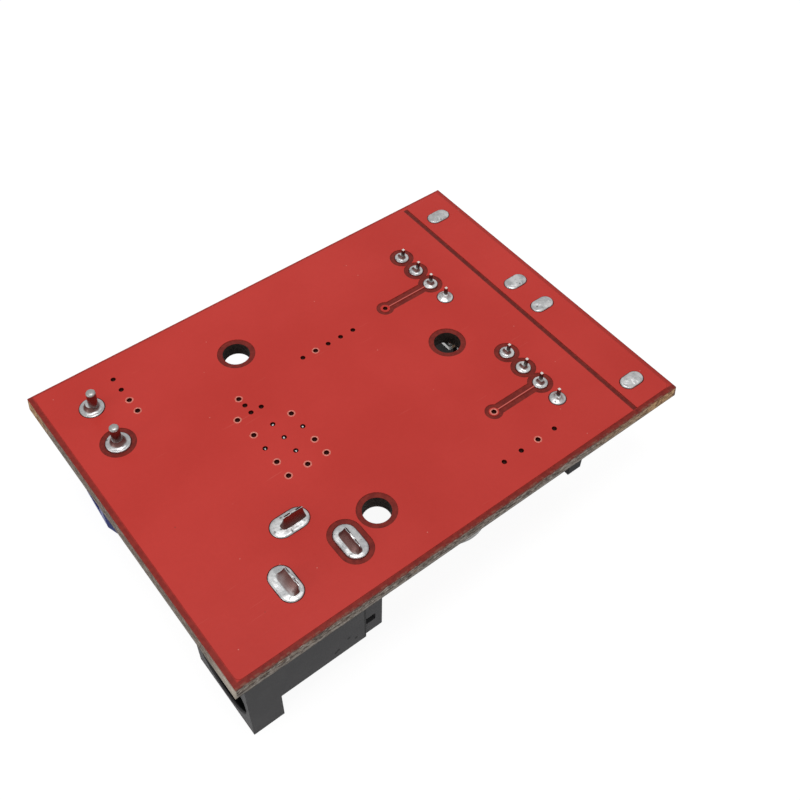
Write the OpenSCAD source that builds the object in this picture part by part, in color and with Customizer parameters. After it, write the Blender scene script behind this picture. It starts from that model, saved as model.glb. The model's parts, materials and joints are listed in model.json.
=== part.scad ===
// Buck converter module: barrel jack and screw terminal in, two USB-A sockets out.
// It lies with its solder side up and its parts below the board, resting on the jack.
// u runs from the input edge to the output edge, v from the terminal side to the jack side,
// and h is a depth below the part side of the board. X is along u, and Y is against v.

/* [Board] */
// Length of the board, input edge to output edge
board_l = 50.5; // [50.5:0.5:80]
// Width of the board, terminal side to jack side
board_w = 36.5; // [36.5:0.5:60]
// Thickness of the board over its masked copper
board_t = 1.6; // [1:0.2:2.4]
// Height of the masked copper over the bare laminate
pour_t = 0.06; // [0.04:0.01:0.12]
// Bare laminate round the edge of the board
pour_setback = 0.5; // [0.3:0.1:0.9]
// Clearance cut in the copper round a pad, a hole or a trace
pour_gap = 0.53; // [0.3:0.01:0.6]
// Width of the two signal traces
trace_w = 0.22; // [0.15:0.01:0.4]
// Distance of the copper split from the output edge
split_from_out = 5.2; // [4.8:0.1:5.6]
// Diameter of a via's hole
via_d = 0.5; // [0.3:0.05:0.6]
// Diameter of a via's copper
via_pad_d = 1; // [0.8:0.05:1.2]

/* [Mounting holes] */
// Diameter of the mounting holes
mount_d = 2.7; // [2:0.1:3.2]
// Distance of the two input side holes from the input edge
mount_in_u = 18.8; // [18.5:0.1:19.5]
// Distance of the first hole from the terminal side edge
mount_edge_v = 7.15; // [6.8:0.05:7.5]
// Distance between the two input side holes
mount_span = 22.9; // [22.5:0.1:23.3]
// Distance of the third hole from the output edge
mount_from_out = 14.1; // [13.8:0.1:14.4]

/* [Screw terminal] */
// Distance between the two poles
pole_pitch = 5.08; // [5:0.04:5.4]
// Distance of the first pole from the terminal side edge
pole_v = 4.7; // [4.2:0.1:4.9]
// Gap between the input edge and the front of the housing
term_setback = 0.4; // [0:0.1:0.8]
// Depth of the housing, front to back
term_depth = 7.6; // [7.4:0.1:8.2]
// Height of the housing off the board
term_h = 10; // [9.6:0.1:10.6]
// Height of the upright part of the front
term_front_h = 5.9; // [5.6:0.1:7]
// How far the front leans back at the top
term_lean = 1.3; // [0.8:0.1:1.4]
// Distance of the pins and screws from the front
pole_back = 3.95; // [3.8:0.05:4.1]
// Diameter of the solder pin
pole_pin_d = 1; // [0.8:0.05:1.2]
// How far the solder pins stand out of the board
pole_pin_out = 2.4; // [1.5:0.1:3]
// Wire gauge space between the clamp's floor and its roof
wire_space = 3; // [2.8:0.05:3.2]
// Inner width of the clamp
clamp_in_w = 2.9; // [2.8:0.05:3]
// Sheet thickness of the clamp
clamp_t = 0.5; // [0.4:0.05:0.55]
// Thickness of the clamp's threaded roof
clamp_roof_t = 0.8; // [0.7:0.05:0.9]
// Length of the clamp along the wire
clamp_l = 5; // [4.6:0.1:5.1]
// Diameter of the screw's thread
screw_d = 2.6; // [2:0.1:2.6]
// Diameter of the screw's head
screw_head_d = 3.8; // [3.5:0.1:3.9]
// Height of the screw's head
screw_head_h = 1.4; // [1.2:0.05:1.5]
// How far the screw drives the wire guard
screw_travel = 2.2; // [1.8:0.1:2.3]
// Thickness of the wire guard
guard_t = 0.35; // [0.25:0.05:0.4]

/* [Barrel jack] */
// Gap between the input edge and the jack's mouth
jack_setback = 0.95; // [0.5:0.05:1.2]
// Gap between the jack and the long edge beside it
jack_side_gap = 0.8; // [0.6:0.1:1.2]
// Width of the jack
jack_w = 9; // [8.8:0.1:9.4]
// Height of the jack's flange off the board
jack_h = 11; // [10.8:0.1:12]
// Length of the jack
jack_l = 14.35; // [14:0.05:15]
// Thickness of the flange
flange_t = 3.2; // [2.6:0.1:3.6]
// Height of the plug's axis off the board
jack_axis_h = 6.5; // [6.3:0.1:6.7]
// Height of the flat sides behind the flange
jack_side_h = 7.15; // [6.9:0.05:7.4]
// Diameter of the round back of the barrel
barrel_d = 8.6; // [8.2:0.1:8.8]
// Diameter of the plug's bore
bore_d = 6.4; // [6.2:0.05:6.6]
// Depth of the plug's bore
bore_l = 9.6; // [9:0.1:10]
// Diameter of the centre pin
centre_pin_d = 2.1; // [1.9:0.1:2.5]
// Length of the recessed tail block
tail_l = 2; // [1.8:0.1:2.3]
// Width of the jack's solder tabs
jack_tab_w = 2.4; // [2:0.1:2.6]
// Sheet thickness of the jack's contacts
jack_tab_t = 0.5; // [0.4:0.05:0.6]
// How far the jack's tabs stand out of the board
jack_tab_out = 1.7; // [1:0.1:2.4]

/* [USB sockets] */
// Width of the shell
usb_w = 13.1; // [12.9:0.05:13.2]
// Height of the shell's far side off the board
usb_h = 7; // [6.9:0.1:7.4]
// Outer height of the shell
shell_h = 5.7; // [5.6:0.05:5.8]
// Sheet thickness of the shell
shell_t = 0.3; // [0.25:0.05:0.35]
// How far the mouth stands over the output edge
usb_over = 0.3; // [0:0.1:1]
// Length of the socket, mouth to back
usb_l = 11.16; // [11.1:0.02:11.6]
// Distance of the shell's legs from the mouth
leg_from_mouth = 3.2; // [2.8:0.1:3.6]
// Distance of the contacts' pins from the mouth
pin_from_mouth = 10.55; // [10.45:0.05:10.65]
// Thickness of the tongue
tongue_t = 1.84; // [1.7:0.02:1.9]
// Width of the tongue
tongue_w = 11.1; // [10.8:0.1:11.3]
// Width of the block's shoulders behind the shell
shoulder_w = 14.86; // [14:0.02:15]
// How far the contacts' pins stand out of the board
usb_pin_out = 1.2; // [0.8:0.1:1.6]

/* [Converter parts] */
// Side of the inductor
coil_side = 12; // [11.6:0.1:12.2]
// Height of the inductor
coil_h = 7; // [6.5:0.1:8]
// Diameter of the capacitor cans
can_d = 8; // [7.6:0.1:8.1]
// Height of the capacitors off the board
can_h = 10.2; // [8:0.1:10.4]
// Side of the capacitors' bases
can_base = 8.3; // [8.2:0.05:8.4]

/* [Hidden] */

$fn = 48;
eps = 0.01;
slip = 0.05;          // clearance of a part that is pushed into another
play = 0.15;          // clearance of a part that moves past another
solder_rim = 0.12;    // thickness of the solder at a pad's edge

z_part = jack_h;                 // part side of the board
z_face = jack_h + board_t;       // solder side of the board
mid_u = (board_l + usb_over) / 2;

// Places and sizes that follow from the driving dimensions
jack_v = board_w - jack_side_gap - jack_w / 2;
usb_mouth_u = board_l + usb_over;
usb_pin_u = usb_mouth_u - pin_from_mouth;
usb_leg_u = usb_mouth_u - leg_from_mouth;

// Free width before, between and after the sockets: it grows and shrinks with the board in these shares
usb_shares = [2.55, 2.04, 2.19];
usb_free = (board_w - 2 * shoulder_w) / (usb_shares[0] + usb_shares[1] + usb_shares[2]);
usb_centres = [
    usb_shares[0] * usb_free + shoulder_w / 2,
    board_w - usb_shares[2] * usb_free - shoulder_w / 2
];
pole_u = term_setback + pole_back;
poles = [pole_v, pole_v + pole_pitch];
mount_out_u = board_l - mount_from_out;
mounts = [
    [mount_in_u, mount_edge_v],
    [mount_in_u, mount_edge_v + mount_span],
    [mount_out_u, mount_edge_v + mount_span / 2]
];
split_u = board_l - split_from_out;

// Drills and pads
pole_drill_d = pole_pin_d + 0.3;
pole_pad_d = pole_pin_d + 1.35;
tab_slot = [jack_tab_w + 0.4, jack_tab_t + 0.5];
tab_pad = [jack_tab_w + 1.4, jack_tab_t + 1.7];
usb_drill_d = 0.92;
usb_pad_d = 1.49;
usb_pin_offsets = [-3.65, -1.22, 1.22, 3.65];
usb_pin_w = 0.5;
usb_pin_t = 0.3;
usb_leg_w = 1.5;
leg_slot = [usb_leg_w + 0.4, shell_t + 0.5];
leg_pad = [usb_leg_w + 1.1, shell_t + 1.2];

// Jack tabs: distance from the mouth, and side offset of the switch tab
centre_tab_x = jack_l - jack_tab_t / 2 + 0.02;
sleeve_tab_x = 7.41;
switch_tab_x = 11.03;
switch_tab_y = jack_w / 2 + jack_tab_t / 2;
jack_tabs = [
    [centre_tab_x, 0, 90],
    [sleeve_tab_x, 0, 90],
    [switch_tab_x, switch_tab_y, 0]
];

// Chip packages: reach of the leads along u, and the size of the moulded body
chip_reach = 6;
chip_body = [3.9, 4.9];
chip_high = 1.6;
port_reach = 2.8;
port_body = [1.6, 2.9];
port_high = 1.15;
// Small parts: length, width and height, and the length of a metal end
cap_size = [2, 1.25, 0.9];
resistor_size = [1.6, 0.8, 0.45];
led_size = [2, 1.25, 0.35];
end_l = 0.35;
// Diodes: length, width and height of the moulded body, and the reach of a lead beyond it
diode_size = [4.4, 3.8, 2.3];
diode_reach = 0.5;

// Middle row, from the input edge: capacitor, ceramics, chip, inductor, then the port chips.
// The free room between them grows and shrinks with the board in these shares.
middle_v = mount_edge_v + mount_span / 2;
port_u = mount_out_u - 0.1;
row_parts = [can_base, cap_size[0], chip_reach, coil_side];
row_shares = [1.65, 0.85, 1, 1.1, 2];
row_free = (port_u - port_reach / 2 - total(row_parts, 3)) / total(row_shares, 4);
function total(list, last) = last < 0 ? 0 : list[last] + total(list, last - 1);
function row_u(i) = total(row_parts, i) - row_parts[i] / 2 + total(row_shares, i) * row_free;
chip_u = row_u(2);
chip_v = middle_v + 0.85;
coil_u = row_u(3);
coil_v = chip_v - 1.4;
can_gap = 0.4;
input_can_at = [row_u(0), (pole_v + 1.5 * pole_pitch + jack_v - jack_w / 2 - jack_tab_t) / 2];
output_a_at = [coil_u + 2.05, coil_v + coil_side / 2 + can_gap + can_base / 2];
output_b_at = [usb_mouth_u - usb_l - 1.3 - can_base / 2, 5];
// The catch diode stands across the room between the first mounting hole and the output capacitor
catch_at = [(mount_in_u + mount_d / 2 + output_b_at[0] - can_base / 2) / 2, 7.1];
input_diode_at = [term_setback + term_depth + 3.6, 6.4];
port_places = [[port_u, middle_v - 6.6], [port_u, middle_v + 7.4]];

// Small parts: u, v, and the turn of their length from u
cap_pitch = 2.4;
led_at = [input_diode_at[0] + 3.9, 2.2];
cap_places = concat(
    [for (i = [-1.5, -0.5, 0.5, 1.5]) [row_u(1), input_can_at[1] + i * cap_pitch, 0]],
    [[chip_u - 0.4, chip_v + 5.7, 90], [usb_mouth_u - usb_l - 1.24, middle_v - 1.3, 0], [port_u, middle_v + 10.8, 0]]
);
resistor_places = [
    [chip_u + 2.1, chip_v + 5.7, 90], [chip_u + 0.6, chip_v - 6.8, 90], [chip_u + 2.4, chip_v - 6.8, 90],
    [input_diode_at[0], 11.2, 0], [led_at[0], 4.4, 0], [led_at[0], 6.4, 0],
    [port_u, middle_v + 12.6, 0], [port_u, middle_v + 3.7, 90]
];

// Vias, as seen on the solder side
signal_via_u = usb_pin_u - 5.95;
signal_vias = [for (c = usb_centres) [signal_via_u, c + usb_pin_offsets[2] - 0.05]];
term_vias = [for (i = [0:3]) [term_setback + term_depth - 0.4, pole_v - 1.9 + i * 1.59]];
heat_vias = [for (i = [-1, 0, 1], j = [-1.5, -0.5, 0.5, 1.5]) [chip_u + i * 2.1, chip_v + j * 1.9]];
spill_steps = [[-0.9, -7.3], [-0.85, -6.3], [0.3, -5.25], [-0.85, -5.25], [-2.35, -5.25]];
spill_vias = [for (d = spill_steps) [chip_u + d[0], chip_v + d[1]]];
row_vias = [for (i = [-2:2]) [coil_u + i * 1.53 - 0.1, coil_v - coil_side / 2 - 0.5]];
edge_vias = [for (i = [0:3]) [board_l - 13 - i * 2.1, board_w - 3.5]];
vias = concat(signal_vias, term_vias, heat_vias, spill_vias, row_vias, edge_vias);

// Clamp levels, as depths below the part side of the board
screw_sink = 0.2;
screw_end_gap = 0.2;
head_low = term_h - screw_sink - screw_head_h;
clamp_top = head_low - screw_travel - screw_end_gap;
clamp_roof = clamp_top - clamp_roof_t;
clamp_floor = clamp_roof - wire_space;
clamp_base_t = 0.6;
clamp_w = clamp_in_w + 2 * clamp_t;
guard_reach = 0.5;
pocket_l = clamp_l + guard_reach + 2 * slip;

// Generic placing and shapes

module at(u, v) {
    translate([u - mid_u, board_w / 2 - v, 0]) children();
}

module on_face(u, v) {
    translate([0, 0, z_face]) at(u, v) children();
}

// Local z grows away from the board on its part side
module on_parts(u, v) {
    translate([0, 0, z_part]) at(u, v) mirror([0, 0, 1]) children();
}

// Box given by its low corner and its high corner
module span(a, b) {
    translate(a) cube([b[0] - a[0], b[1] - a[1], b[2] - a[2]]);
}

module round_rect(l, w, r) {
    square([l - 2 * r, w], center = true);
    square([l, w - 2 * r], center = true);
    for (x = [-1, 1], y = [-1, 1])
        translate([x * (l / 2 - r), y * (w / 2 - r)]) circle(r);
}

module stadium(l, w) {
    square([l - w, w], center = true);
    for (x = [-1, 1])
        translate([x * (l - w) / 2, 0]) circle(d = w);
}

// Stadium that narrows from w_low to w_high over its height
module stadium_cone(l, w_low, w_high, h) {
    reach = (l - w_low) / 2;
    for (x = [-1, 1])
        translate([x * reach, 0, 0]) cylinder(d1 = w_low, d2 = w_high, h = h);
    rotate([90, 0, 90]) linear_extrude(2 * reach, center = true)
        polygon([[-w_low / 2, 0], [w_low / 2, 0], [w_high / 2, h], [-w_high / 2, h]]);
}

// Board

module place_jack_tabs() {
    for (t = jack_tabs)
        at(jack_setback + t[0], jack_v - t[1]) rotate(t[2]) children();
}

module place_usb_pins() {
    for (c = usb_centres, y = usb_pin_offsets)
        at(usb_pin_u, c + y) children();
}

module place_usb_legs() {
    for (c = usb_centres, s = [-1, 1])
        at(usb_leg_u, c + s * (usb_w / 2 - shell_t / 2)) children();
}

module place_poles() {
    for (v = poles)
        at(pole_u, v) children();
}

module drills() {
    for (m = mounts)
        at(m[0], m[1]) circle(d = mount_d);
    for (w = vias)
        at(w[0], w[1]) circle(d = via_d);
    place_poles() circle(d = pole_drill_d);
    place_jack_tabs() stadium(tab_slot[0], tab_slot[1]);
    place_usb_pins() circle(d = usb_drill_d);
    place_usb_legs() stadium(leg_slot[0], leg_slot[1]);
}

module pour_outline() {
    translate([board_l / 2 - mid_u, 0])
        round_rect(board_l - 2 * pour_setback, board_w - 2 * pour_setback, pour_setback);
}

// Copper that is cut away on the solder side
module face_clearances() {
    at(split_u, board_w / 2) square([pour_gap, board_w], center = true);
    for (m = mounts)
        at(m[0], m[1]) circle(d = mount_d + 2 * pour_gap);
    at(pole_u, poles[1]) circle(d = pole_pad_d + 2 * pour_gap);
    at(jack_setback + centre_tab_x, jack_v) rotate(90)
        stadium(tab_pad[0] + 2 * pour_gap, tab_pad[1] + 2 * pour_gap);
    for (c = usb_centres, i = [0:2])
        at(usb_pin_u, c + usb_pin_offsets[i]) circle(d = usb_pad_d + 2 * pour_gap);
    for (s = signal_vias) {
        at(s[0], s[1]) circle(d = via_pad_d + 1.5 * pour_gap);
        at((s[0] + usb_pin_u) / 2, s[1]) square([usb_pin_u - s[0], trace_w + 2 * pour_gap], center = true);
    }
}

// Pads and traces that stand inside those clearances
module face_islands() {
    at(pole_u, poles[1]) circle(d = pole_pad_d);
    at(jack_setback + centre_tab_x, jack_v) rotate(90) stadium(tab_pad[0], tab_pad[1]);
    for (c = usb_centres, i = [0:2])
        at(usb_pin_u, c + usb_pin_offsets[i]) circle(d = usb_pad_d);
    for (s = signal_vias) {
        at(s[0], s[1]) circle(d = via_pad_d);
        at((s[0] + usb_pin_u) / 2, s[1]) square([usb_pin_u - s[0], trace_w], center = true);
    }
}

// Copper fields of the part side: input, switched and output nets
module part_clearances() {
    at(split_u, board_w / 2) square([pour_gap, board_w], center = true);
    for (m = mounts)
        at(m[0], m[1]) circle(d = mount_d + 2 * pour_gap);
    for (u = [input_can_at[0] + can_base / 2 + can_gap, coil_u - coil_side / 2 - can_gap, coil_u])
        at(u, board_w / 2) square([pour_gap, board_w], center = true);
}

module board() {
    color("firebrick") difference() {
        union() {
            translate([board_l / 2 - mid_u - board_l / 2, -board_w / 2, z_part + pour_t])
                cube([board_l, board_w, board_t - 2 * pour_t]);
            translate([0, 0, z_face - pour_t]) linear_extrude(pour_t) {
                difference() {
                    pour_outline();
                    face_clearances();
                }
                face_islands();
            }
            translate([0, 0, z_part]) linear_extrude(pour_t) difference() {
                pour_outline();
                part_clearances();
            }
        }
        translate([0, 0, z_part - 1]) linear_extrude(board_t + 2) drills();
    }
}

// Solder joints

// Concave fillet round a pin, with the plug of solder in the drilled hole below it
module pin_joint(pad_d, drill_d, rise, tip_d) {
    r = pad_d / 2;
    t = tip_d / 2;
    rotate_extrude() polygon([
        [0, 0], [r, 0], [r, solder_rim / 2], [r * 0.9, solder_rim],
        [t + (r - t) * 0.45, rise * 0.3], [t + (r - t) * 0.15, rise * 0.62], [t, rise], [0, rise]
    ]);
    translate([0, 0, -board_t]) cylinder(d = drill_d, h = board_t + eps);
}

module slot_joint(pad, slot, rise) {
    linear_extrude(solder_rim) stadium(pad[0], pad[1]);
    translate([0, 0, solder_rim]) stadium_cone(pad[0] - 0.2, pad[1] - 0.2, pad[1] * 0.45, rise - solder_rim);
    translate([0, 0, -board_t]) linear_extrude(board_t + eps) stadium(slot[0], slot[1]);
}

module pole_pin() {
    translate([0, 0, -term_h]) cylinder(d = pole_pin_d, h = term_h + pole_pin_out);
}

module jack_tab() {
    translate([-jack_tab_w / 2, -jack_tab_t / 2, -term_h]) cube([jack_tab_w, jack_tab_t, term_h + jack_tab_out]);
}

module usb_pin() {
    translate([-usb_pin_t / 2, -usb_pin_w / 2, -usb_h]) cube([usb_pin_t, usb_pin_w, usb_h + usb_pin_out]);
}

module usb_leg() {
    translate([-usb_leg_w / 2, -shell_t / 2, -usb_h]) cube([usb_leg_w, shell_t, usb_h - pour_t]);
}

module solder_input() {
    pole_rise = 0.85;
    tab_rise = 0.65;
    color("silver") translate([0, 0, z_face]) {
        place_poles() difference() {
            pin_joint(pole_pad_d, pole_drill_d, pole_rise, pole_pin_d + 0.16);
            pole_pin();
        }
        place_jack_tabs() difference() {
            slot_joint(tab_pad, tab_slot, tab_rise);
            jack_tab();
        }
    }
}

module solder_usb() {
    pin_rise = 0.5;
    leg_rise = 0.22;
    color("silver") translate([0, 0, z_face]) {
        place_usb_pins() difference() {
            pin_joint(usb_pad_d, usb_drill_d, pin_rise, usb_pin_w + 0.14);
            usb_pin();
        }
        place_usb_legs() difference() {
            slot_joint(leg_pad, leg_slot, leg_rise);
            usb_leg();
        }
    }
}

// Screw terminal. Local x is measured from the front, and y from a pole.

module on_pole(i) {
    on_parts(term_setback, poles[i]) children();
}

module terminal_housing() {
    back_chamfer = 0.8;
    wire_hole_w = clamp_in_w;
    groove = 0.4;
    low_y = -1.5 * pole_pitch;
    color("royalblue") on_parts(term_setback, poles[0]) difference() {
        translate([0, pole_pitch / 2, 0]) rotate([90, 0, 0]) linear_extrude(2 * pole_pitch) polygon([
            [0, 0], [0, term_front_h], [term_lean, term_h],
            [term_depth - back_chamfer, term_h], [term_depth, term_h - back_chamfer], [term_depth, 0]
        ]);
        for (i = [0, 1]) translate([0, -i * pole_pitch, 0]) {
            span(
                [pole_back - clamp_l / 2 - slip, -clamp_w / 2 - slip, -1],
                [pole_back - clamp_l / 2 - slip + pocket_l, clamp_w / 2 + slip, clamp_top + slip]
            );
            translate([pole_back, 0, clamp_top]) cylinder(d = screw_head_d + 2 * play, h = term_h);
            span([-1, -wire_hole_w / 2, clamp_floor], [pole_back, wire_hole_w / 2, clamp_roof]);
        }
        span([-1, low_y + pole_pitch - groove / 2, -1], [groove, low_y + pole_pitch + groove / 2, term_h + 1]);
        span([-1, low_y + pole_pitch - groove / 2, term_h - groove], [term_depth + 1, low_y + pole_pitch + groove / 2, term_h + 1]);
    }
}

module terminal_clamp(i) {
    front = pole_back - clamp_l / 2;
    base = clamp_floor - clamp_base_t;
    color("gainsboro") on_pole(i) {
        difference() {
            span([front, -clamp_w / 2, base], [front + clamp_l, clamp_w / 2, clamp_top]);
            span([front - 1, -clamp_in_w / 2, clamp_floor], [front + clamp_l + 1, clamp_in_w / 2, clamp_roof]);
            translate([pole_back, 0, clamp_roof - 1]) cylinder(d = screw_d + 2 * slip, h = clamp_roof_t + 2);
        }
        translate([pole_back, 0, -board_t - pole_pin_out])
            cylinder(d = pole_pin_d, h = board_t + pole_pin_out + base + eps);
    }
}

module terminal_screw(i) {
    slot_w = 0.6;
    slot_depth = 0.7;
    cross_l = screw_head_d * 0.62;
    color("silver") on_pole(i) translate([pole_back, 0, 0]) difference() {
        union() {
            translate([0, 0, clamp_roof]) cylinder(d = screw_d, h = head_low - clamp_roof + eps);
            translate([0, 0, head_low]) cylinder(d = screw_head_d, h = screw_head_h);
        }
        translate([0, 0, term_h - screw_sink - slot_depth]) {
            translate([-screw_head_d, -slot_w / 2, 0]) cube([2 * screw_head_d, slot_w, 1]);
            translate([-slot_w / 2, -cross_l / 2, 0]) cube([slot_w, cross_l, 1]);
        }
    }
}

module wire_guard(i) {
    front = pole_back - clamp_l / 2;
    back = front + clamp_l + guard_reach - slip;
    top = clamp_roof - slip;
    lip = 1.5;
    half = clamp_in_w / 2 - play;
    color("lightsteelblue") on_pole(i) {
        span([front + play, -half, top - guard_t], [back, half, top]);
        span([back - guard_t, -half, top - guard_t - lip], [back, half, top]);
    }
}

// Barrel jack. Local x is measured from the mouth, y from the plug's axis.

module on_jack() {
    on_parts(jack_setback, jack_v) children();
}

module jack_housing() {
    tail_h = 7.3;
    tail_inset = 0.3;
    key_hole = [1.15, 1];
    key_hole_h = 4.55;
    half = jack_w / 2;
    mouth_chamfer = 0.35;
    plate_half = jack_tab_w / 2 + 0.3;
    color("dimgray") on_jack() difference() {
        union() {
            span([0, -half, 0], [flange_t, half, jack_h]);
            span([flange_t - eps, -half, 0], [jack_l - tail_l, half, jack_side_h]);
            translate([flange_t - eps, 0, jack_axis_h]) rotate([0, 90, 0])
                cylinder(d = barrel_d, h = jack_l - tail_l - flange_t + eps);
            span([jack_l - tail_l - eps, -half + tail_inset, 0], [jack_l, half - tail_inset, tail_h]);
        }
        translate([-1, 0, jack_axis_h]) rotate([0, 90, 0]) cylinder(d = bore_d, h = bore_l + 1);
        translate([-eps, 0, jack_axis_h]) rotate([0, 90, 0])
            cylinder(d1 = bore_d + 2 * mouth_chamfer, d2 = bore_d, h = mouth_chamfer);
        translate([bore_l - 1, 0, jack_axis_h]) rotate([0, 90, 0]) cylinder(d = centre_pin_d, h = jack_l);
        span([jack_l - jack_tab_t - slip, -plate_half, -1], [jack_l + 1, plate_half, jack_axis_h + centre_pin_d / 2 + slip]);
        sleeve_room();
        switch_room();
        for (s = [-1, 1])
            span(
                [jack_l - 0.75 - key_hole[0], s * half - 1, key_hole_h],
                [jack_l - 0.75, s * half + 1, key_hole_h + key_hole[1]]
            );
    }
}

// Groove on the board side of the bore, and the way out for the sleeve contact's tab
module sleeve_room() {
    half = jack_tab_w / 2 + slip;
    span([1.8, -half, 0.6], [sleeve_tab_x + jack_tab_t / 2 + slip, half, jack_axis_h - bore_d / 2 + 0.5]);
    span([sleeve_tab_x - jack_tab_t / 2 - slip, -half, -1], [sleeve_tab_x + jack_tab_t / 2 + slip, half, 2]);
}

// Groove along the bore's side, and the slot through the side wall for the switch contact
module switch_room() {
    arm_half = 0.7 + slip;
    arm_y = bore_d / 2 + 0.15;
    front = 4;
    back = switch_tab_x + jack_tab_w / 2 + slip;
    span([front, bore_d / 2 - 0.9, jack_axis_h - arm_half], [back, arm_y + jack_tab_t, jack_axis_h + arm_half]);
    span([switch_tab_x, arm_y, jack_axis_h - arm_half], [back, jack_w, jack_axis_h + arm_half]);
}

module jack_centre_contact() {
    tip_back = 0.9;
    half = jack_tab_w / 2;
    plate_half = half + 0.25;
    plate_x = jack_l - jack_tab_t + 0.02;
    color("gainsboro") on_jack() {
        translate([tip_back + 0.4, 0, jack_axis_h]) rotate([0, 90, 0])
            cylinder(d = centre_pin_d, h = plate_x - tip_back - 0.4 + eps);
        translate([tip_back, 0, jack_axis_h]) rotate([0, 90, 0])
            cylinder(d1 = centre_pin_d - 0.7, d2 = centre_pin_d, h = 0.4 + eps);
        span([plate_x, -plate_half, 0.3], [plate_x + jack_tab_t, plate_half, jack_axis_h + centre_pin_d / 2]);
        span([plate_x, -half, -board_t - jack_tab_out], [plate_x + jack_tab_t, half, 0.3 + eps]);
    }
}

module jack_sleeve_contact() {
    half = jack_tab_w / 2;
    x0 = sleeve_tab_x - jack_tab_t / 2;
    strip_t = 0.35;
    strip_h = jack_axis_h - bore_d / 2 - 0.5;
    strip_front = 2.2;
    bump_x = 3.6;
    bump_low = strip_h + strip_t - slip;
    color("gold") on_jack() {
        span([x0, -half, -board_t - jack_tab_out], [x0 + jack_tab_t, half, strip_h + eps]);
        span([strip_front, -half, strip_h], [x0 + jack_tab_t, half, strip_h + strip_t]);
        translate([bump_x, half, 0]) rotate([90, 0, 0]) linear_extrude(2 * half)
            polygon([[-1, bump_low], [1, bump_low], [0.25, bump_low + 0.45], [-0.25, bump_low + 0.45]]);
    }
}

module jack_switch_contact() {
    arm_half = 0.7;
    arm_t = 0.3;
    arm_y = bore_d / 2 + 0.15 + slip;
    x0 = switch_tab_x - jack_tab_w / 2;
    x1 = switch_tab_x + jack_tab_w / 2;
    y0 = jack_w / 2;
    color("gold") on_jack() {
        span([x0, y0, -board_t - jack_tab_out], [x1, y0 + jack_tab_t, jack_axis_h + arm_half]);
        span([switch_tab_x + slip, arm_y, jack_axis_h - arm_half], [x1, y0 + eps, jack_axis_h + arm_half]);
        span([4.3, arm_y, jack_axis_h - arm_half], [x1, arm_y + arm_t, jack_axis_h + arm_half]);
        translate([5.4, 0, jack_axis_h - arm_half]) linear_extrude(2 * arm_half)
            polygon([[-0.9, arm_y + eps], [0.9, arm_y + eps], [0.2, arm_y - 0.45], [-0.2, arm_y - 0.45]]);
    }
}

// USB sockets. Local x is measured from the mouth towards the input edge, y from the centre line.

module on_usb(i) {
    on_parts(usb_mouth_u, usb_centres[i]) mirror([1, 0, 0]) children();
}

shell_low = usb_h - shell_h;
block_l = 1.9;
shoulder_l = 2.6;
foot_l = 1.2;
shoulder_low = usb_h - 2.4;
tongue_high = usb_h - shell_t - 0.6;
tongue_low = tongue_high - tongue_t;
contact_w = 1;
contact_t = 0.25;
groove_depth = 0.35;

module shell_section(grow) {
    translate([0, (shell_low + usb_h) / 2])
        round_rect(usb_w + 2 * grow, shell_h + 2 * grow, 0.6 + grow);
}

module along_x() {
    rotate([90, 0, 90]) children();
}

module usb_shell(i) {
    shell_l = usb_l - 0.35;
    flare = 0.28;
    flare_l = 0.9;
    latch_x = [2.4, 5.4];
    latch_w = 1.7;
    latch_cut = 0.35;
    latch_y = 3.1;
    // the side walls give way to the shoulders of the block, and the floor to its feet and the pins
    shoulder_cut = usb_l - shoulder_l - slip;
    floor_end = usb_l - foot_l - slip;
    color("lightgray") on_usb(i) difference() {
        union() {
            along_x() linear_extrude(shell_l) shell_section(0);
            for (s = [-1, 1])
                translate([leg_from_mouth - usb_leg_w / 2, s * (usb_w / 2 - shell_t / 2) - shell_t / 2, -board_t + pour_t])
                    cube([usb_leg_w, shell_t, board_t - pour_t + shell_low + 1]);
            for (s = [-1, 1]) {
                translate([0, s * (usb_w / 2 - eps), shell_low + 0.9]) mirror([0, s < 0 ? 1 : 0, 0])
                    linear_extrude(shell_h - 1.8) polygon([[0, 0], [0, flare], [0.2, flare], [flare_l, 0]]);
            }
            translate([0, (usb_w - 2.4) / 2, usb_h - eps]) rotate([90, 0, 0])
                linear_extrude(usb_w - 2.4) polygon([[0, 0], [0, flare], [0.2, flare], [flare_l, 0]]);
            translate([0, (usb_w - 2.4) / 2, shell_low + eps]) rotate([90, 0, 0])
                linear_extrude(usb_w - 2.4) polygon([[0, 0], [0, -flare], [0.2, -flare], [flare_l, 0]]);
        }
        translate([-1, 0, 0]) along_x() linear_extrude(shell_l + 2) shell_section(-shell_t);
        span([shoulder_cut, -usb_w, shoulder_low - slip], [usb_l, usb_w, usb_h - 0.45]);
        span([floor_end, -usb_w / 2 + shell_t, shell_low - 1], [usb_l, usb_w / 2 - shell_t, shell_low + 1]);
        for (s = [-1, 1], z = [shell_low - 1, usb_h - shell_t - 0.1])
            translate([0, s * latch_y, z]) difference() {
                span([latch_x[0], -latch_w / 2 - latch_cut, 0], [latch_x[1], latch_w / 2 + latch_cut, shell_t + 1.1]);
                span([latch_x[0] - 1, -latch_w / 2, -1], [latch_x[1] - latch_cut, latch_w / 2, shell_t + 2]);
            }
    }
}

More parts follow.
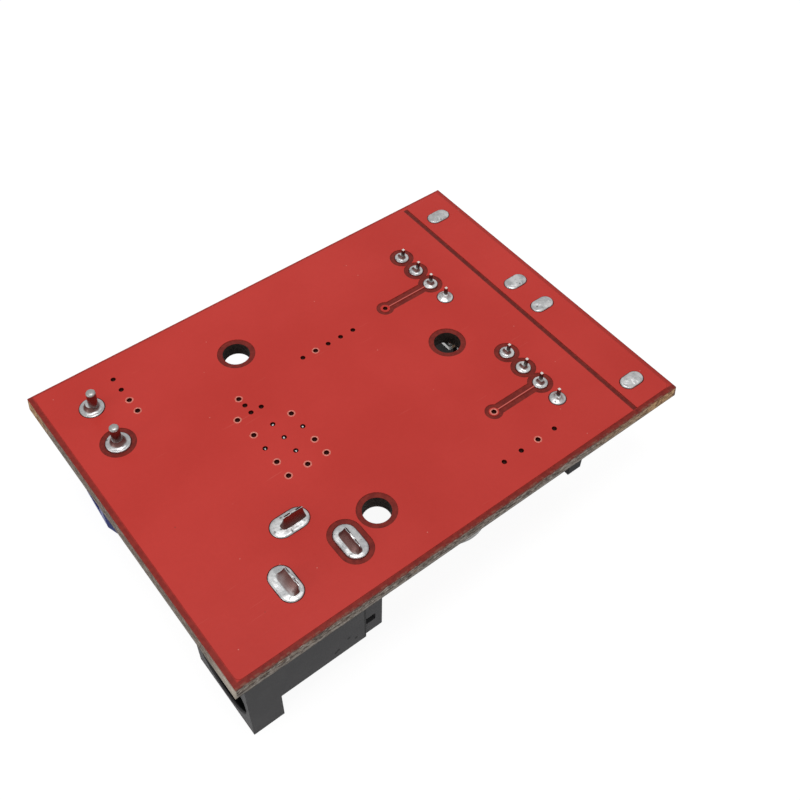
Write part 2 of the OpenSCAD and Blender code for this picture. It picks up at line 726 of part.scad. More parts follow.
module usb_insulator(i) {
    inner_w = usb_w - 2 * shell_t - 2 * slip;
    inner_low = shell_low + shell_t + slip;
    inner_high = usb_h - shell_t - slip;
    block_x = usb_l - block_l;
    tongue_tip = 1.2;
    chamfer = 0.9;
    color("black") on_usb(i) difference() {
        union() {
            span([block_x, -inner_w / 2, inner_low], [usb_l, inner_w / 2, inner_high]);
            span([usb_l - 0.3, -inner_w / 2, shell_low], [usb_l, inner_w / 2, usb_h - 0.5]);
            translate([0, 0, shoulder_low]) linear_extrude(usb_h - 0.5 - shoulder_low) polygon([
                [usb_l, -shoulder_w / 2], [usb_l, shoulder_w / 2],
                [usb_l - shoulder_l + chamfer, shoulder_w / 2], [usb_l - shoulder_l, shoulder_w / 2 - chamfer],
                [usb_l - shoulder_l, -shoulder_w / 2 + chamfer], [usb_l - shoulder_l + chamfer, -shoulder_w / 2]
            ]);
            for (s = [-1, 1])
                span([usb_l - foot_l, s * 5.2 - 0.9, 0], [usb_l, s * 5.2 + 0.9, shell_low + 1]);
            span([tongue_tip, -tongue_w / 2, tongue_low], [block_x + eps, tongue_w / 2, tongue_high]);
        }
        for (y = usb_pin_offsets) {
            span(
                [tongue_tip + 0.5, y - contact_w / 2 - slip, tongue_low - 1],
                [pin_from_mouth + usb_pin_t / 2 + slip, y + contact_w / 2 + slip, tongue_low + groove_depth]
            );
            span(
                [pin_from_mouth - usb_pin_t / 2 - slip, y - contact_w / 2 - slip, -1],
                [usb_l + 1, y + contact_w / 2 + slip, tongue_low + groove_depth]
            );
        }
    }
}

module usb_contacts(i) {
    tip_x = 1.9;
    low = tongue_low + groove_depth - contact_t;
    back = pin_from_mouth + usb_pin_t / 2;
    color("gold") on_usb(i) for (y = usb_pin_offsets) {
        span([tip_x, y - contact_w / 2, low], [back, y + contact_w / 2, low + contact_t]);
        translate([4.2, y + contact_w / 2, low + eps]) rotate([90, 0, 0]) linear_extrude(contact_w)
            polygon([[-1.6, 0], [1.6, 0], [0.3, -0.45], [-0.3, -0.45]]);
        span([back - usb_pin_t, y - contact_w / 2, 0.4], [back, y + contact_w / 2, low + eps]);
        span([back - usb_pin_t, y - usb_pin_w / 2, -board_t - usb_pin_out], [back, y + usb_pin_w / 2, 0.4 + eps]);
    }
}

// Small parts. Local x is along the part's own length.

// Lead of a chip: foot on the board, riser, and shoulder into the body at x = 0
module gull_lead(reach, foot, rise, w, t) {
    translate([0, w / 2, 0]) rotate([90, 0, 0]) linear_extrude(w) polygon([
        [0, rise], [reach - foot - t, rise], [reach - foot, 0], [reach, 0],
        [reach, t], [reach - foot + t * 0.6, t], [reach - foot - t * 0.4, rise + t], [0, rise + t]
    ]);
}

// Moulded body with its sides drafted from the parting line
module moulded_body(l, w, low, high, draft) {
    mid = (low + high) / 2;
    intersection() {
        translate([0, w / 2, 0]) rotate([90, 0, 0]) linear_extrude(w) polygon([
            [-l / 2 + draft, low], [l / 2 - draft, low], [l / 2, mid],
            [l / 2 - draft, high], [-l / 2 + draft, high], [-l / 2, mid]
        ]);
        translate([-l / 2, 0, 0]) along_x() linear_extrude(l) polygon([
            [-w / 2 + draft, low], [w / 2 - draft, low], [w / 2, mid],
            [w / 2 - draft, high], [-w / 2 + draft, high], [-w / 2, mid]
        ]);
    }
}

chip_pad_t = 0.1;

module buck_chip() {
    color("black") on_parts(chip_u, chip_v) difference() {
        moulded_body(chip_body[0], chip_body[1], chip_pad_t, chip_high, 0.14);
        translate([-1.2, 1.7, chip_high - 0.12]) cylinder(d = 0.7, h = 1);
    }
}

module buck_chip_leads() {
    reach = (chip_reach - chip_body[0]) / 2;
    foot = 0.6;
    lead_w = 0.4;
    lead_t = 0.2;
    lead_pitch = 1.27;
    pad = [2.4, 3.3];
    color("silver") on_parts(chip_u, chip_v) {
        translate([-pad[0] / 2, -pad[1] / 2, 0]) cube([pad[0], pad[1], chip_pad_t]);
        for (s = [0, 180], j = [-1.5, -0.5, 0.5, 1.5])
            rotate(s) translate([chip_body[0] / 2, j * lead_pitch, 0])
                gull_lead(reach, foot, (chip_pad_t + chip_high - lead_t) / 2, lead_w, lead_t);
    }
}

port_clear = 0.05;

module usb_chip(i) {
    color("black") on_parts(port_places[i][0], port_places[i][1]) difference() {
        moulded_body(port_body[0], port_body[1], port_clear, port_high, 0.1);
        translate([-port_body[0] / 4, port_body[1] / 2 - 0.4, port_high - 0.1]) cylinder(d = 0.4, h = 1);
    }
}

module usb_chip_leads(i) {
    reach = (port_reach - port_body[0]) / 2;
    foot = 0.3;
    lead_w = 0.4;
    lead_t = 0.15;
    lead_pitch = 0.95;
    color("silver") on_parts(port_places[i][0], port_places[i][1])
        for (s = [0, 180], j = [-1, 0, 1])
            rotate(s) translate([port_body[0] / 2, j * lead_pitch, 0])
                gull_lead(reach, foot, (port_clear + port_high - lead_t) / 2, lead_w, lead_t);
}

// Power inductor

coil_base_t = 0.9;
coil_pad_t = 0.2;
drum_d = coil_side - 2;
drum_hub_d = 4.8;
drum_flange_t = 1;
drum_low = coil_base_t;
drum_high = coil_h - 0.3;

module inductor_base() {
    color("black") on_parts(coil_u, coil_v) difference() {
        translate([0, 0, coil_pad_t]) linear_extrude(coil_base_t - coil_pad_t) round_rect(coil_side, coil_side, 1.5);
        for (s = [-1, 1])
            translate([s * (coil_side / 2 - 0.1), 0, coil_base_t / 2])
                cube([0.4, 5, coil_base_t + 1], center = true);
    }
}

module inductor_terminals() {
    color("silver") on_parts(coil_u, coil_v) for (s = [0, 180]) rotate(s) {
        span([coil_side / 2 - 3, -2.45, 0], [coil_side / 2, 2.45, coil_pad_t]);
        span([coil_side / 2 - 0.25, -2.45, 0], [coil_side / 2, 2.45, coil_base_t]);
    }
}

module inductor_shield() {
    color("dimgray") on_parts(coil_u, coil_v) difference() {
        translate([0, 0, coil_base_t]) linear_extrude(coil_h - coil_base_t) round_rect(coil_side, coil_side, 2.6);
        cylinder(d = drum_d + 0.6, h = coil_h + 1);
    }
}

module inductor_core() {
    color("dimgray") on_parts(coil_u, coil_v) {
        translate([0, 0, drum_low]) cylinder(d = drum_d, h = drum_flange_t);
        translate([0, 0, drum_low]) cylinder(d = drum_hub_d, h = drum_high - drum_low);
        translate([0, 0, drum_high - drum_flange_t]) cylinder(d = drum_d, h = drum_flange_t);
    }
}

module inductor_winding() {
    color("peru") on_parts(coil_u, coil_v) difference() {
        translate([0, 0, drum_low + drum_flange_t]) cylinder(d = drum_d - 0.9, h = drum_high - drum_low - 2 * drum_flange_t);
        cylinder(d = drum_hub_d, h = coil_h);
    }
}

// Surface mount electrolytic capacitors

can_lead_t = 0.15;
can_floor = 0.6;
can_rim_h = 1.5;

module capacitor_base(at_uv) {
    cut = 2;
    half = can_base / 2;
    color("black") on_parts(at_uv[0], at_uv[1]) difference() {
        translate([0, 0, can_lead_t]) linear_extrude(can_rim_h - can_lead_t) polygon([
            [-half + cut, -half], [half, -half], [half, half], [-half + cut, half], [-half, half - cut], [-half, -half + cut]
        ]);
        translate([0, 0, can_floor]) cylinder(d = can_d + 0.04, h = can_rim_h);
    }
}

module capacitor_can(at_uv) {
    bead = 0.28;
    edge = 0.5;
    r = can_d / 2;
    color("gainsboro") on_parts(at_uv[0], at_uv[1]) difference() {
        rotate_extrude() difference() {
            union() {
                square([r - edge, can_h - can_floor]);
                square([r, can_h - can_floor - edge]);
                translate([r - edge, can_h - can_floor - edge]) circle(edge);
            }
            translate([r + 0.3, 2]) circle(bead + 0.3);
        }
        for (a = [0, 90]) rotate(a)
            translate([-r * 0.55, -0.12, can_h - can_floor - 0.15]) cube([r * 1.1, 0.24, 1]);
    }
}

module place_can(at_uv) {
    translate([0, 0, -can_floor]) capacitor_can(at_uv);
}

module capacitor_leads(at_uv) {
    inner = 1.2;
    lead_w = 0.8;
    lead_out = 0.4;
    color("silver") on_parts(at_uv[0], at_uv[1]) for (s = [0, 180]) rotate(s)
        span([inner, -lead_w / 2, 0], [can_base / 2 + lead_out, lead_w / 2, can_lead_t]);
}

// Two lead diodes, lying across the board
diode_lead_t = 0.2;

module diode_body(at_uv) {
    color("black") on_parts(at_uv[0], at_uv[1]) rotate(90)
        moulded_body(diode_size[0], diode_size[1], diode_lead_t, diode_size[2], 0.15);
}

module diode_leads(at_uv) {
    half = 1;
    foot = 1.5;
    mid = (diode_lead_t + diode_size[2]) / 2;
    reach = diode_size[0] / 2 + diode_reach;
    color("silver") on_parts(at_uv[0], at_uv[1]) rotate(90) for (s = [0, 180]) rotate(s) {
        span([diode_size[0] / 2, -half, mid - diode_lead_t / 2], [reach, half, mid + diode_lead_t / 2]);
        span([reach - diode_lead_t, -half, 0], [reach, half, mid]);
        span([reach - foot, -half, 0], [reach, half, diode_lead_t]);
    }
}

// Chip capacitors and resistors

module chip_bodies(places, size) {
    for (p = places)
        on_parts(p[0], p[1]) rotate(p[2])
            translate([-size[0] / 2 + end_l, -size[1] / 2, 0.04]) cube([size[0] - 2 * end_l, size[1], size[2] - 0.08]);
}

module chip_ends(places, size) {
    for (p = places, s = [0, 180])
        on_parts(p[0], p[1]) rotate(p[2] + s)
            translate([size[0] / 2 - end_l, -size[1] / 2, 0]) cube([end_l, size[1], size[2]]);
}

led_dome_h = 0.45;
led_dome_l = 1.3;
led_dome_inset = 0.05;

module led_base() {
    color("ivory") on_parts(led_at[0], led_at[1])
        translate([-led_size[0] / 2, -led_size[1] / 2, 0]) cube(led_size);
}

module led_lens() {
    color("orangered") on_parts(led_at[0], led_at[1])
        translate([-led_dome_l / 2, -led_size[1] / 2 + led_dome_inset, led_size[2]])
            cube([led_dome_l, led_size[1] - 2 * led_dome_inset, led_dome_h]);
}

// Drawn parts

board();
solder_input();
solder_usb();
terminal_housing();
terminal_clamp(0);  // terminal_clamp_a
terminal_clamp(1);  // terminal_clamp_b
terminal_screw(0);  // terminal_screw_a
terminal_screw(1);  // terminal_screw_b
wire_guard(0);  // wire_guard_a
wire_guard(1);  // wire_guard_b
jack_housing();
jack_centre_contact();
jack_sleeve_contact();
jack_switch_contact();
usb_shell(0);  // usb_shell_a
usb_shell(1);  // usb_shell_b
usb_insulator(0);  // usb_insulator_a
usb_insulator(1);  // usb_insulator_b
usb_contacts(0);  // usb_contacts_a
usb_contacts(1);  // usb_contacts_b
buck_chip();
buck_chip_leads();
inductor_base();
inductor_terminals();
inductor_shield();
inductor_core();
inductor_winding();
place_can(input_can_at);  // input_capacitor_can
capacitor_base(input_can_at);  // input_capacitor_base
capacitor_leads(input_can_at);  // input_capacitor_leads
place_can(output_a_at);  // output_capacitor_a_can
capacitor_base(output_a_at);  // output_capacitor_a_base
capacitor_leads(output_a_at);  // output_capacitor_a_leads
place_can(output_b_at);  // output_capacitor_b_can
capacitor_base(output_b_at);  // output_capacitor_b_base
capacitor_leads(output_b_at);  // output_capacitor_b_leads
diode_body(catch_at);  // catch_diode_body
diode_leads(catch_at);  // catch_diode_leads
diode_body(input_diode_at);  // input_diode_body
diode_leads(input_diode_at);  // input_diode_leads
usb_chip(0);  // usb_chip_a
usb_chip_leads(0);  // usb_chip_a_leads
usb_chip(1);  // usb_chip_b
usb_chip_leads(1);  // usb_chip_b_leads
color("tan") chip_bodies(cap_places, cap_size);  // chip_capacitors
color("silver") chip_ends(cap_places, cap_size);  // chip_capacitor_ends
color("black") chip_bodies(resistor_places, resistor_size);  // chip_resistors
color("silver") chip_ends(resistor_places, resistor_size);  // chip_resistor_ends
led_base();
led_lens();
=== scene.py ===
import json
import math

import bmesh
import bpy
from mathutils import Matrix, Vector, noise


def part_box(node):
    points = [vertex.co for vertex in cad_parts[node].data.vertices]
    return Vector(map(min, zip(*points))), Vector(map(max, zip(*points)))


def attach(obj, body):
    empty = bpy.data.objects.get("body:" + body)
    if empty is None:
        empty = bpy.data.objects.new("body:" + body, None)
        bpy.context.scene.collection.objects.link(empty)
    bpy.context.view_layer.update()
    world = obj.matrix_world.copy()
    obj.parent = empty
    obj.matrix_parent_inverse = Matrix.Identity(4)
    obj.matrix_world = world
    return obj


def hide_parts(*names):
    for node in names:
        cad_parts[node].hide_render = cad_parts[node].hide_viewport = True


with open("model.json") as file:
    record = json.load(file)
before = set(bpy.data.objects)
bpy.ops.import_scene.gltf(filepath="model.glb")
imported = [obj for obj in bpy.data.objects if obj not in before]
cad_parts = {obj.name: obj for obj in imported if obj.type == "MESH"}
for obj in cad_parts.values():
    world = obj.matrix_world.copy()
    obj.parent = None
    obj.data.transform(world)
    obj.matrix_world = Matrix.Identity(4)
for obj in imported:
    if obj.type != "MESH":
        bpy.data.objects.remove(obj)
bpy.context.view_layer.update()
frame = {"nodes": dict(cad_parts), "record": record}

# Sizes are in millimetres, in the row frame; a mesh is scaled to metres when it is made.
MM = 0.001


def box_mm(name):
    """The lowest and the highest corner of a CAD node."""
    return [[c / MM for c in corner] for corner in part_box(name)]


# The board's sides, and the heights of its part side and its solder side
(LEFT, _, PART_Z), (RIGHT, SIDE, FACE_Z) = [[round(c, 3) for c in corner] for corner in box_mm("board")]


def uv(u, v):
    """A place on the board measured from its input corner, as x and y."""
    return LEFT + u, SIDE - v


# The two signal traces, where they start and end, and the split in the copper
TRACE_YS = (SIDE - 11.15, SIDE - 28.05)
TRACE_START, TRACE_END = LEFT + 34.82, LEFT + 39.6
SPLIT_X = LEFT + 45.3
# Depth of the broken edges, and width of the border where the copper ends, at the sides and the corners
EDGE_DEPTH = 0.04
BORDER = 0.51
CORNER = 1.3
# Height up to which a pin's shaft is painted dark, as painted reflection and shade, and above which its cut
# end is bright
POLE_BRIGHT_Z = 14.8
USB_PIN_BRIGHT_Z = 13.72
# Pitch of the winding's wire, whose grooves get painted shade, and of the fine rings of painted reflection on
# a can's end
WIRE_PITCH = 0.47
CAN_RING_PITCH = 0.28
# The jack: a seam (x, y), its bore's axis (y, z), open radius and end, and small dents in its side
JACK_SEAM = (-12.2, -17.3)
JACK_AXIS = (-12.95, 4.5)
JACK_MOUTH = 3.85
BORE_END = -14.6
JACK_DENTS = ((-13.98, -17.45, 5.91), (-13.2, -17.45, 5.05), (-15.15, -17.45, 5.0), (-15.4, -17.45, 4.8))


# Finishes


class Nodes:
    """The node tree of a material or a world, with short calls for the nodes that are used."""

    def __init__(self, owner):
        owner.use_nodes = True
        self.tree = owner.node_tree

    def feed(self, socket, value):
        if isinstance(value, bpy.types.NodeSocket):
            self.tree.links.new(value, socket)
        elif isinstance(value, tuple) and len(value) == 3 and socket.type == "RGBA":
            socket.default_value = (*value, 1)
        else:
            socket.default_value = value

    def add(self, kind, inputs=None, **settings):
        """A node with its settings, and with its inputs fed by name or number."""
        node = self.tree.nodes.new("ShaderNode" + kind)
        for key, value in settings.items():
            setattr(node, key, value)
        for key, value in (inputs or {}).items():
            self.feed(node.inputs[key], value)
        return node

    def shader(self, kind, **inputs):
        return self.add(kind, inputs).outputs[0]

    def either(self, share, first, second):
        """The first shader where share is 0 and the second where it is 1."""
        return self.add("MixShader", {0: share, 1: first, 2: second}).outputs[0]

    def seen_rays(self):
        """1 for rays from the camera, and for those that a mirror or glass passes on."""
        rays = self.add("LightPath").outputs
        return self.most(rays["Is Camera Ray"], rays["Is Glossy Ray"], rays["Is Transmission Ray"])

    def calc(self, operation, a, b=0.0, clamp=False):
        return self.add("Math", {0: a, 1: b}, operation=operation, use_clamp=clamp).outputs[0]

    def fold(self, operation, values):
        total = values[0]
        for value in values[1:]:
            total = self.calc(operation, total, value)
        return total

    def times(self, *values):
        return self.fold("MULTIPLY", values)

    def most(self, *values):
        return self.fold("MAXIMUM", values)

    def least(self, *values):
        return self.fold("MINIMUM", values)

    def plus(self, a, b, clamp=False):
        return self.calc("ADD", a, b, clamp)

    def minus(self, a, b):
        return self.calc("SUBTRACT", a, b)

    def less(self, value):
        """1 less the value."""
        return self.minus(1.0, value)

    def size(self, value):
        """The value without its sign."""
        return self.calc("ABSOLUTE", value)

    def below(self, value, limit):
        return self.calc("LESS_THAN", value, limit)

    def above(self, value, limit):
        return self.calc("GREATER_THAN", value, limit)


class Finish(Nodes):
    """A material for the object, by the place on it in millimetres."""

    INPUTS = {
        "colour": "Base Color", "metallic": "Metallic", "roughness": "Roughness", "normal": "Normal",
        "specular": "Specular IOR Level", "transmission": "Transmission Weight", "coat": "Coat Weight",
        "coat_roughness": "Coat Roughness",
    }

    def __init__(self, name):
        self.material = bpy.data.materials.new(name)
        super().__init__(self.material)
        self.mm = self.dim(self.add("TexCoord").outputs["Object"], 1 / MM)
        self.x, self.y, self.z = self.split(self.mm)

    def set(self, **values):
        """Feeds the material's shader; every finish ends with this."""
        shader = self.tree.nodes["Principled BSDF"]
        for key, value in values.items():
            self.feed(shader.inputs[self.INPUTS[key]], value)
        return self.material

    def waves(self, value, pitch):
        """A sine from -1 to 1."""
        return self.calc("SINE", self.times(value, 2 * math.pi / pitch))

    def step(self, value, low, high):
        """0 below low and 1 above high, with a smooth change between them."""
        inputs = {"Value": value, "From Min": low, "From Max": high}
        return self.add("MapRange", inputs, interpolation_type="SMOOTHSTEP").outputs[0]

    def fade(self, value, low, high):
        """1 below low and 0 above high, with a smooth change between them."""
        return self.less(self.step(value, low, high))

    def span(self, value, low, high):
        """value runs from 0 to 1, and comes out from low to high."""
        return self.add("MapRange", {"Value": value, "To Min": low, "To Max": high}).outputs[0]

    def split(self, vector):
        """The three numbers of a vector or a colour."""
        return self.add("SeparateXYZ", {0: vector}).outputs

    def level(self, normal):
        """1 on a level face and 0 on an upright one, by the normal of that name."""
        return self.size(self.split(self.add("NewGeometry").outputs[normal])[2])

    def place(self, scale=(1, 1, 1), turn=0.0, shift=(0, 0, 0)):
        """The place in millimetres, stretched, turned about Z by degrees and shifted."""
        rotation = (0, 0, math.radians(turn))
        inputs = {"Vector": self.mm, "Scale": scale, "Rotation": rotation, "Location": shift}
        return self.add("Mapping", inputs).outputs[0]

    def grain(self, scale, detail, roughness, at=None):
        """Noise from 0 to 1."""
        inputs = {"Vector": at or self.mm, "Scale": scale, "Detail": detail, "Roughness": roughness}
        return self.add("TexNoise", inputs).outputs[0]

    def cells(self, scale):
        """Distance to the middle of a cell, and the cell's colour."""
        return self.add("TexVoronoi", {"Vector": self.mm, "Scale": scale}).outputs[0:2]

    def mix(self, share, a, b):
        """Colour a where share is 0 and b where it is 1."""
        return self.add("Mix", {"Factor": share, 6: a, 7: b}, data_type="RGBA").outputs[2]

    def lay(self, tone, *layers):
        """tone under layers: each is a colour, and shares that say, multiplied, how far it covers."""
        for colour, *shares in layers:
            tone = self.mix(self.times(*shares), tone, colour)
        return tone

    def dim(self, colour, factor):
        """colour times a number that may come from a node."""
        return self.add("VectorMath", {0: colour, "Scale": factor}, operation="SCALE").outputs[0]

    def bump(self, height, depth, normal=None):
        """height runs from 0 to 1 and depth is in millimetres."""
        inputs = {"Height": height, "Distance": depth * MM}
        if normal:
            inputs["Normal"] = normal
        return self.add("Bump", inputs).outputs[0]

    def soft_edges(self, radius):
        """Edges that look rounded to that radius in millimetres."""
        return self.add("Bevel", {"Radius": radius * MM}, samples=4).outputs[0]

    def scratches(self, turn, length, fineness, amount):
        """Thin lines in one direction, 1 on a line."""
        lines = self.grain(1.0, 2.0, 0.5, self.place((1 / length, fineness, fineness), turn))
        where = self.grain(0.13, 2.0, 0.5, self.place((1, 1, 1), turn, (7.0 * turn, 3.0, 1.0)))
        return self.times(self.step(lines, 0.735 - amount, 0.76 - amount), self.step(where, 0.5, 0.62))

    def specks(self, scale, size, share):
        """Small dots of dust, 1 on a dot; share of the cells have one."""
        distance, colour = self.cells(scale)
        return self.times(self.fade(distance, size * 0.5, size), self.below(self.split(colour)[0], share))

    def spot(self, place, radius):
        """1 in a ball round a place."""
        away = self.add("VectorMath", {0: self.mm, 1: place}, operation="DISTANCE").outputs["Value"]
        return self.fade(away, radius * 0.6, radius)


def copper_under_mask(f):
    """How far the mask lies on copper, and where it lies on the crest of a trace."""
    high, low = f.step(f.z, FACE_Z - 0.04, FACE_Z - 0.015), f.fade(f.z, PART_Z + 0.015, PART_Z + 0.04)
    # The pour stops short of the board's sides; the mask is darker there, least on the far sides
    far, near = f.minus(SIDE, f.y), f.plus(f.y, SIDE)
    left, right = f.minus(f.x, LEFT), f.minus(RIGHT, f.x)
    ragged = f.span(f.grain(1.3, 3.0, 0.6), -0.05, 0.05)
    bands = [
        f.times(f.fade(f.plus(distance, ragged), start, end), weight)
        for distance, start, end, weight in (
            (left, 0.34, 0.62, 0.84), (near, 0.42, 0.57, 0.95), (right, 0.3, 0.56, 0.4),
            (right, 0.06, 0.16, 0.8), (far, 0.08, 0.3, 0.6),
        )
    ]
    from_sides, from_ends = f.least(far, near), f.least(left, right)
    at_corner = f.times(f.below(from_sides, CORNER), f.below(from_ends, CORNER))
    at_edge = f.most(f.below(f.least(from_sides, from_ends), BORDER), at_corner)
    on_copper = f.span(at_edge, f.most(high, low), f.less(f.most(*bands)))
    # The two signal traces are thin, with a pale crest
    along = f.times(f.above(f.x, TRACE_START), f.below(f.x, TRACE_END))
    crests = []
    for y in TRACE_YS:
        off = f.size(f.minus(f.y, y))
        beside = f.times(f.step(off, 0.035, 0.075), f.fade(off, 0.3, 0.32), along)
        on_copper = f.times(on_copper, f.less(beside))
        crests.append(f.times(f.fade(off, 0.03, 0.06), along))
    return on_copper, f.most(*crests)


def mask_tone(f, scuffs):
    """Solder mask: thick and bright on the copper, dark where the laminate is bare under it."""
    on_copper, on_crest = copper_under_mask(f)
    cloud = f.grain(0.09, 3.0, 0.5)
    fine = f.grain(2.2, 4.0, 0.6)
    copper = f.mix(f.step(cloud, 0.3, 0.7), (0.43, 0.03, 0.0225), (0.465, 0.036, 0.028))
    copper = f.dim(copper, f.span(fine, 0.965, 1.035))
    # Painted shade: the copper is painted a little darker towards the near side
    copper = f.dim(copper, f.span(f.step(f.y, -19.0, 2.0), 0.94, 1.0))
    copper = f.lay(copper, ((0.62, 0.24, 0.2), on_crest, 0.4))
    bare = f.mix(f.step(fine, 0.35, 0.65), (0.125, 0.009, 0.006), (0.175, 0.016, 0.010))
    in_split = f.fade(f.size(f.minus(f.x, SPLIT_X)), 0.06, 0.17)
    bare = f.dim(bare, f.span(in_split, 1.0, 0.72))
    # Its last bit on the near side is rubbed through to the cloth
    rubbed = f.times(f.fade(f.plus(f.y, SIDE), 0.08, 0.24), f.step(f.grain(2.6, 4.0, 0.7), 0.45, 0.6))
    return f.lay(
        f.mix(on_copper, bare, copper),
        ((0.17, 0.075, 0.05), rubbed, 0.75),
        ((0.62, 0.16, 0.13), scuffs, 0.16),
        ((0.72, 0.36, 0.3), f.specks(0.85, 0.055, 0.2), 0.42),
        ((0.13, 0.03, 0.02), f.specks(0.55, 0.05, 0.16), 0.5),
    )


def edge_tone(f, fibres, input_side, output_side):
    """Broken edge: mottled glass cloth in resin, redder to the top, with a pale line low down."""
    layers = f.grain(1.0, 4.0, 0.7, f.place((1.5, 1.5, 5.0)))
    coarse = f.grain(1.3, 4.0, 0.7, f.place((1, 1, 1.8), 0.0, (3.0, 5.0, 0.0)))
    low_line = f.times(f.step(f.z, PART_Z + 0.1, PART_Z + 0.22), f.fade(f.z, PART_Z + 0.34, PART_Z + 0.5))
    gold = f.most(
        f.times(f.step(f.y, 12.5, 17.2), input_side, 0.7),
        f.times(f.step(f.x, 12.5, 18.0), 0.42),
        f.times(f.step(f.x, 18.5, 22.5), 0.78),
    )
    edge = f.lay(
        f.mix(f.step(layers, 0.4, 0.6), (0.075, 0.056, 0.046), (0.3, 0.25, 0.21)),
        ((0.55, 0.5, 0.44), f.step(fibres, 0.53, 0.63), 0.8),
        ((0.035, 0.022, 0.02), f.fade(fibres, 0.38, 0.47), 0.85),
        ((0.24, 0.15, 0.075), f.step(coarse, 0.56, 0.7), 0.6),
        ((0.5, 0.46, 0.42), low_line, f.step(coarse, 0.35, 0.5), 0.55),
        # The input side is painted darker and browner; the darkening is painted shade
        ((0.15, 0.115, 0.085), input_side, 0.45),
        (f.mix(f.step(fibres, 0.42, 0.58), (0.22, 0.1, 0.035), (0.72, 0.44, 0.2)), gold),
        ((0.1, 0.03, 0.03), output_side, 0.7),
        ((0.6, 0.54, 0.45), f.fade(f.y, -17.6, -13.0), input_side, 0.65),
    )
    uneven_z = f.plus(f.z, f.span(f.grain(2.0, 4.0, 0.7), -0.45, 0.45))
    return f.lay(
        f.dim(edge, f.span(f.step(f.z, PART_Z, PART_Z + 1.0), 0.75, 1.0)),
        ((0.2, 0.03, 0.022), f.step(uneven_z, FACE_Z - 0.4, FACE_Z - 0.15), f.span(input_side, 0.85, 0.5)),
        ((0.045, 0.033, 0.028), f.fade(f.z, PART_Z + 0.03, PART_Z + 0.13), 0.75),
    )


def board_finish():
    """Solder mask on the two faces, drilled walls painted near black as painted shade, and broken edges of
    glass laminate.
    """
    f = Finish("board_mask")
    flat = f.step(f.level("True Normal"), 0.4, 0.6)
    input_side = f.below(f.x, LEFT + EDGE_DEPTH)
    output_side = f.above(f.x, RIGHT - EDGE_DEPTH)
    outside = f.most(f.above(f.size(f.y), SIDE - EDGE_DEPTH), input_side, output_side)
    scuffs = f.most(f.scratches(24.0, 9.0, 5.0, 0.0), f.scratches(-57.0, 6.0, 6.0, 0.01))
    fibres = f.grain(2.6, 4.0, 0.8, f.place((0.7, 0.7, 1.7)))
    # Painted shade: the walls of the drilled holes are painted near black
    painted_hole_shade = f.mix(f.step(f.grain(2.4, 4.0, 0.7), 0.4, 0.65), (0.01, 0.006, 0.005), (0.03, 0.019, 0.014))
    # The upright steps in the copper near the two faces are red
    relief = f.most(f.step(f.z, FACE_Z - 0.07, FACE_Z - 0.06), f.fade(f.z, PART_Z + 0.06, PART_Z + 0.07))
    wall = f.mix(relief, painted_hole_shade, (0.42, 0.03, 0.022))
    wall = f.mix(outside, wall, edge_tone(f, fibres, input_side, output_side))
    rough = f.plus(f.span(f.grain(0.8, 4.0, 0.6), 0.34, 0.5), f.times(scuffs, 0.2))
    rough = f.plus(rough, f.times(f.less(flat), 0.35), clamp=True)
    peel = f.bump(f.grain(1.6, 3.0, 0.5), 0.012, f.soft_edges(0.05))
    broken = f.bump(f.times(fibres, f.less(flat)), 0.1, peel)
    tone = f.mix(flat, wall, mask_tone(f, scuffs))
    return f.set(colour=tone, roughness=rough, specular=0.16, normal=broken)


def solder_finish():
    """Solder with a grainy, slightly oxidised skin; where it climbs a pin it is smoother, and painted darker
    and redder as painted shade and a painted reflection of the red board.
    """
    f = Finish("solder_skin")
    level = f.level("Normal")
    steep = f.times(f.fade(level, 0.66, 0.92), f.step(f.z, FACE_Z + 0.1, FACE_Z + 0.16))
    sheer = f.fade(level, 0.12, 0.32)
    grain = f.grain(3.4, 5.0, 0.65)
    patches = f.grain(0.9, 3.0, 0.6)
    tone = f.lay(
        f.mix(f.step(patches, 0.35, 0.65), (0.33, 0.335, 0.34), (0.5, 0.5, 0.5)),
        ((0.21, 0.21, 0.21), f.step(grain, 0.55, 0.72)),
        ((0.16, 0.13, 0.11), f.specks(5.0, 0.1, 0.22), 0.5),
        ((0.07, 0.065, 0.065), f.specks(1.5, 0.24, 0.5), f.step(grain, 0.4, 0.5), 0.8),
        # Painted shade and reflection: steep solder is painted dark red-brown, darkest where it is sheer
        (f.mix(sheer, (0.13, 0.072, 0.066), (0.25, 0.19, 0.18)), steep),
    )
    calm = f.less(f.times(steep, 0.9))
    ripple = f.bump(f.times(grain, calm), 0.009, f.bump(f.times(patches, calm), 0.04))
    rough = f.times(f.span(grain, 0.28, 0.5), f.less(f.times(steep, sheer, 0.66)))
    return f.set(colour=tone, metallic=1.0, roughness=rough, normal=ripple)


def above_board(f, rise, bright_z, cut):
    """1 on a pin from rise over the solder side up to its bright cut end."""
    return f.minus(f.step(f.z, FACE_Z, FACE_Z + rise), f.step(f.z, bright_z - cut, bright_z))


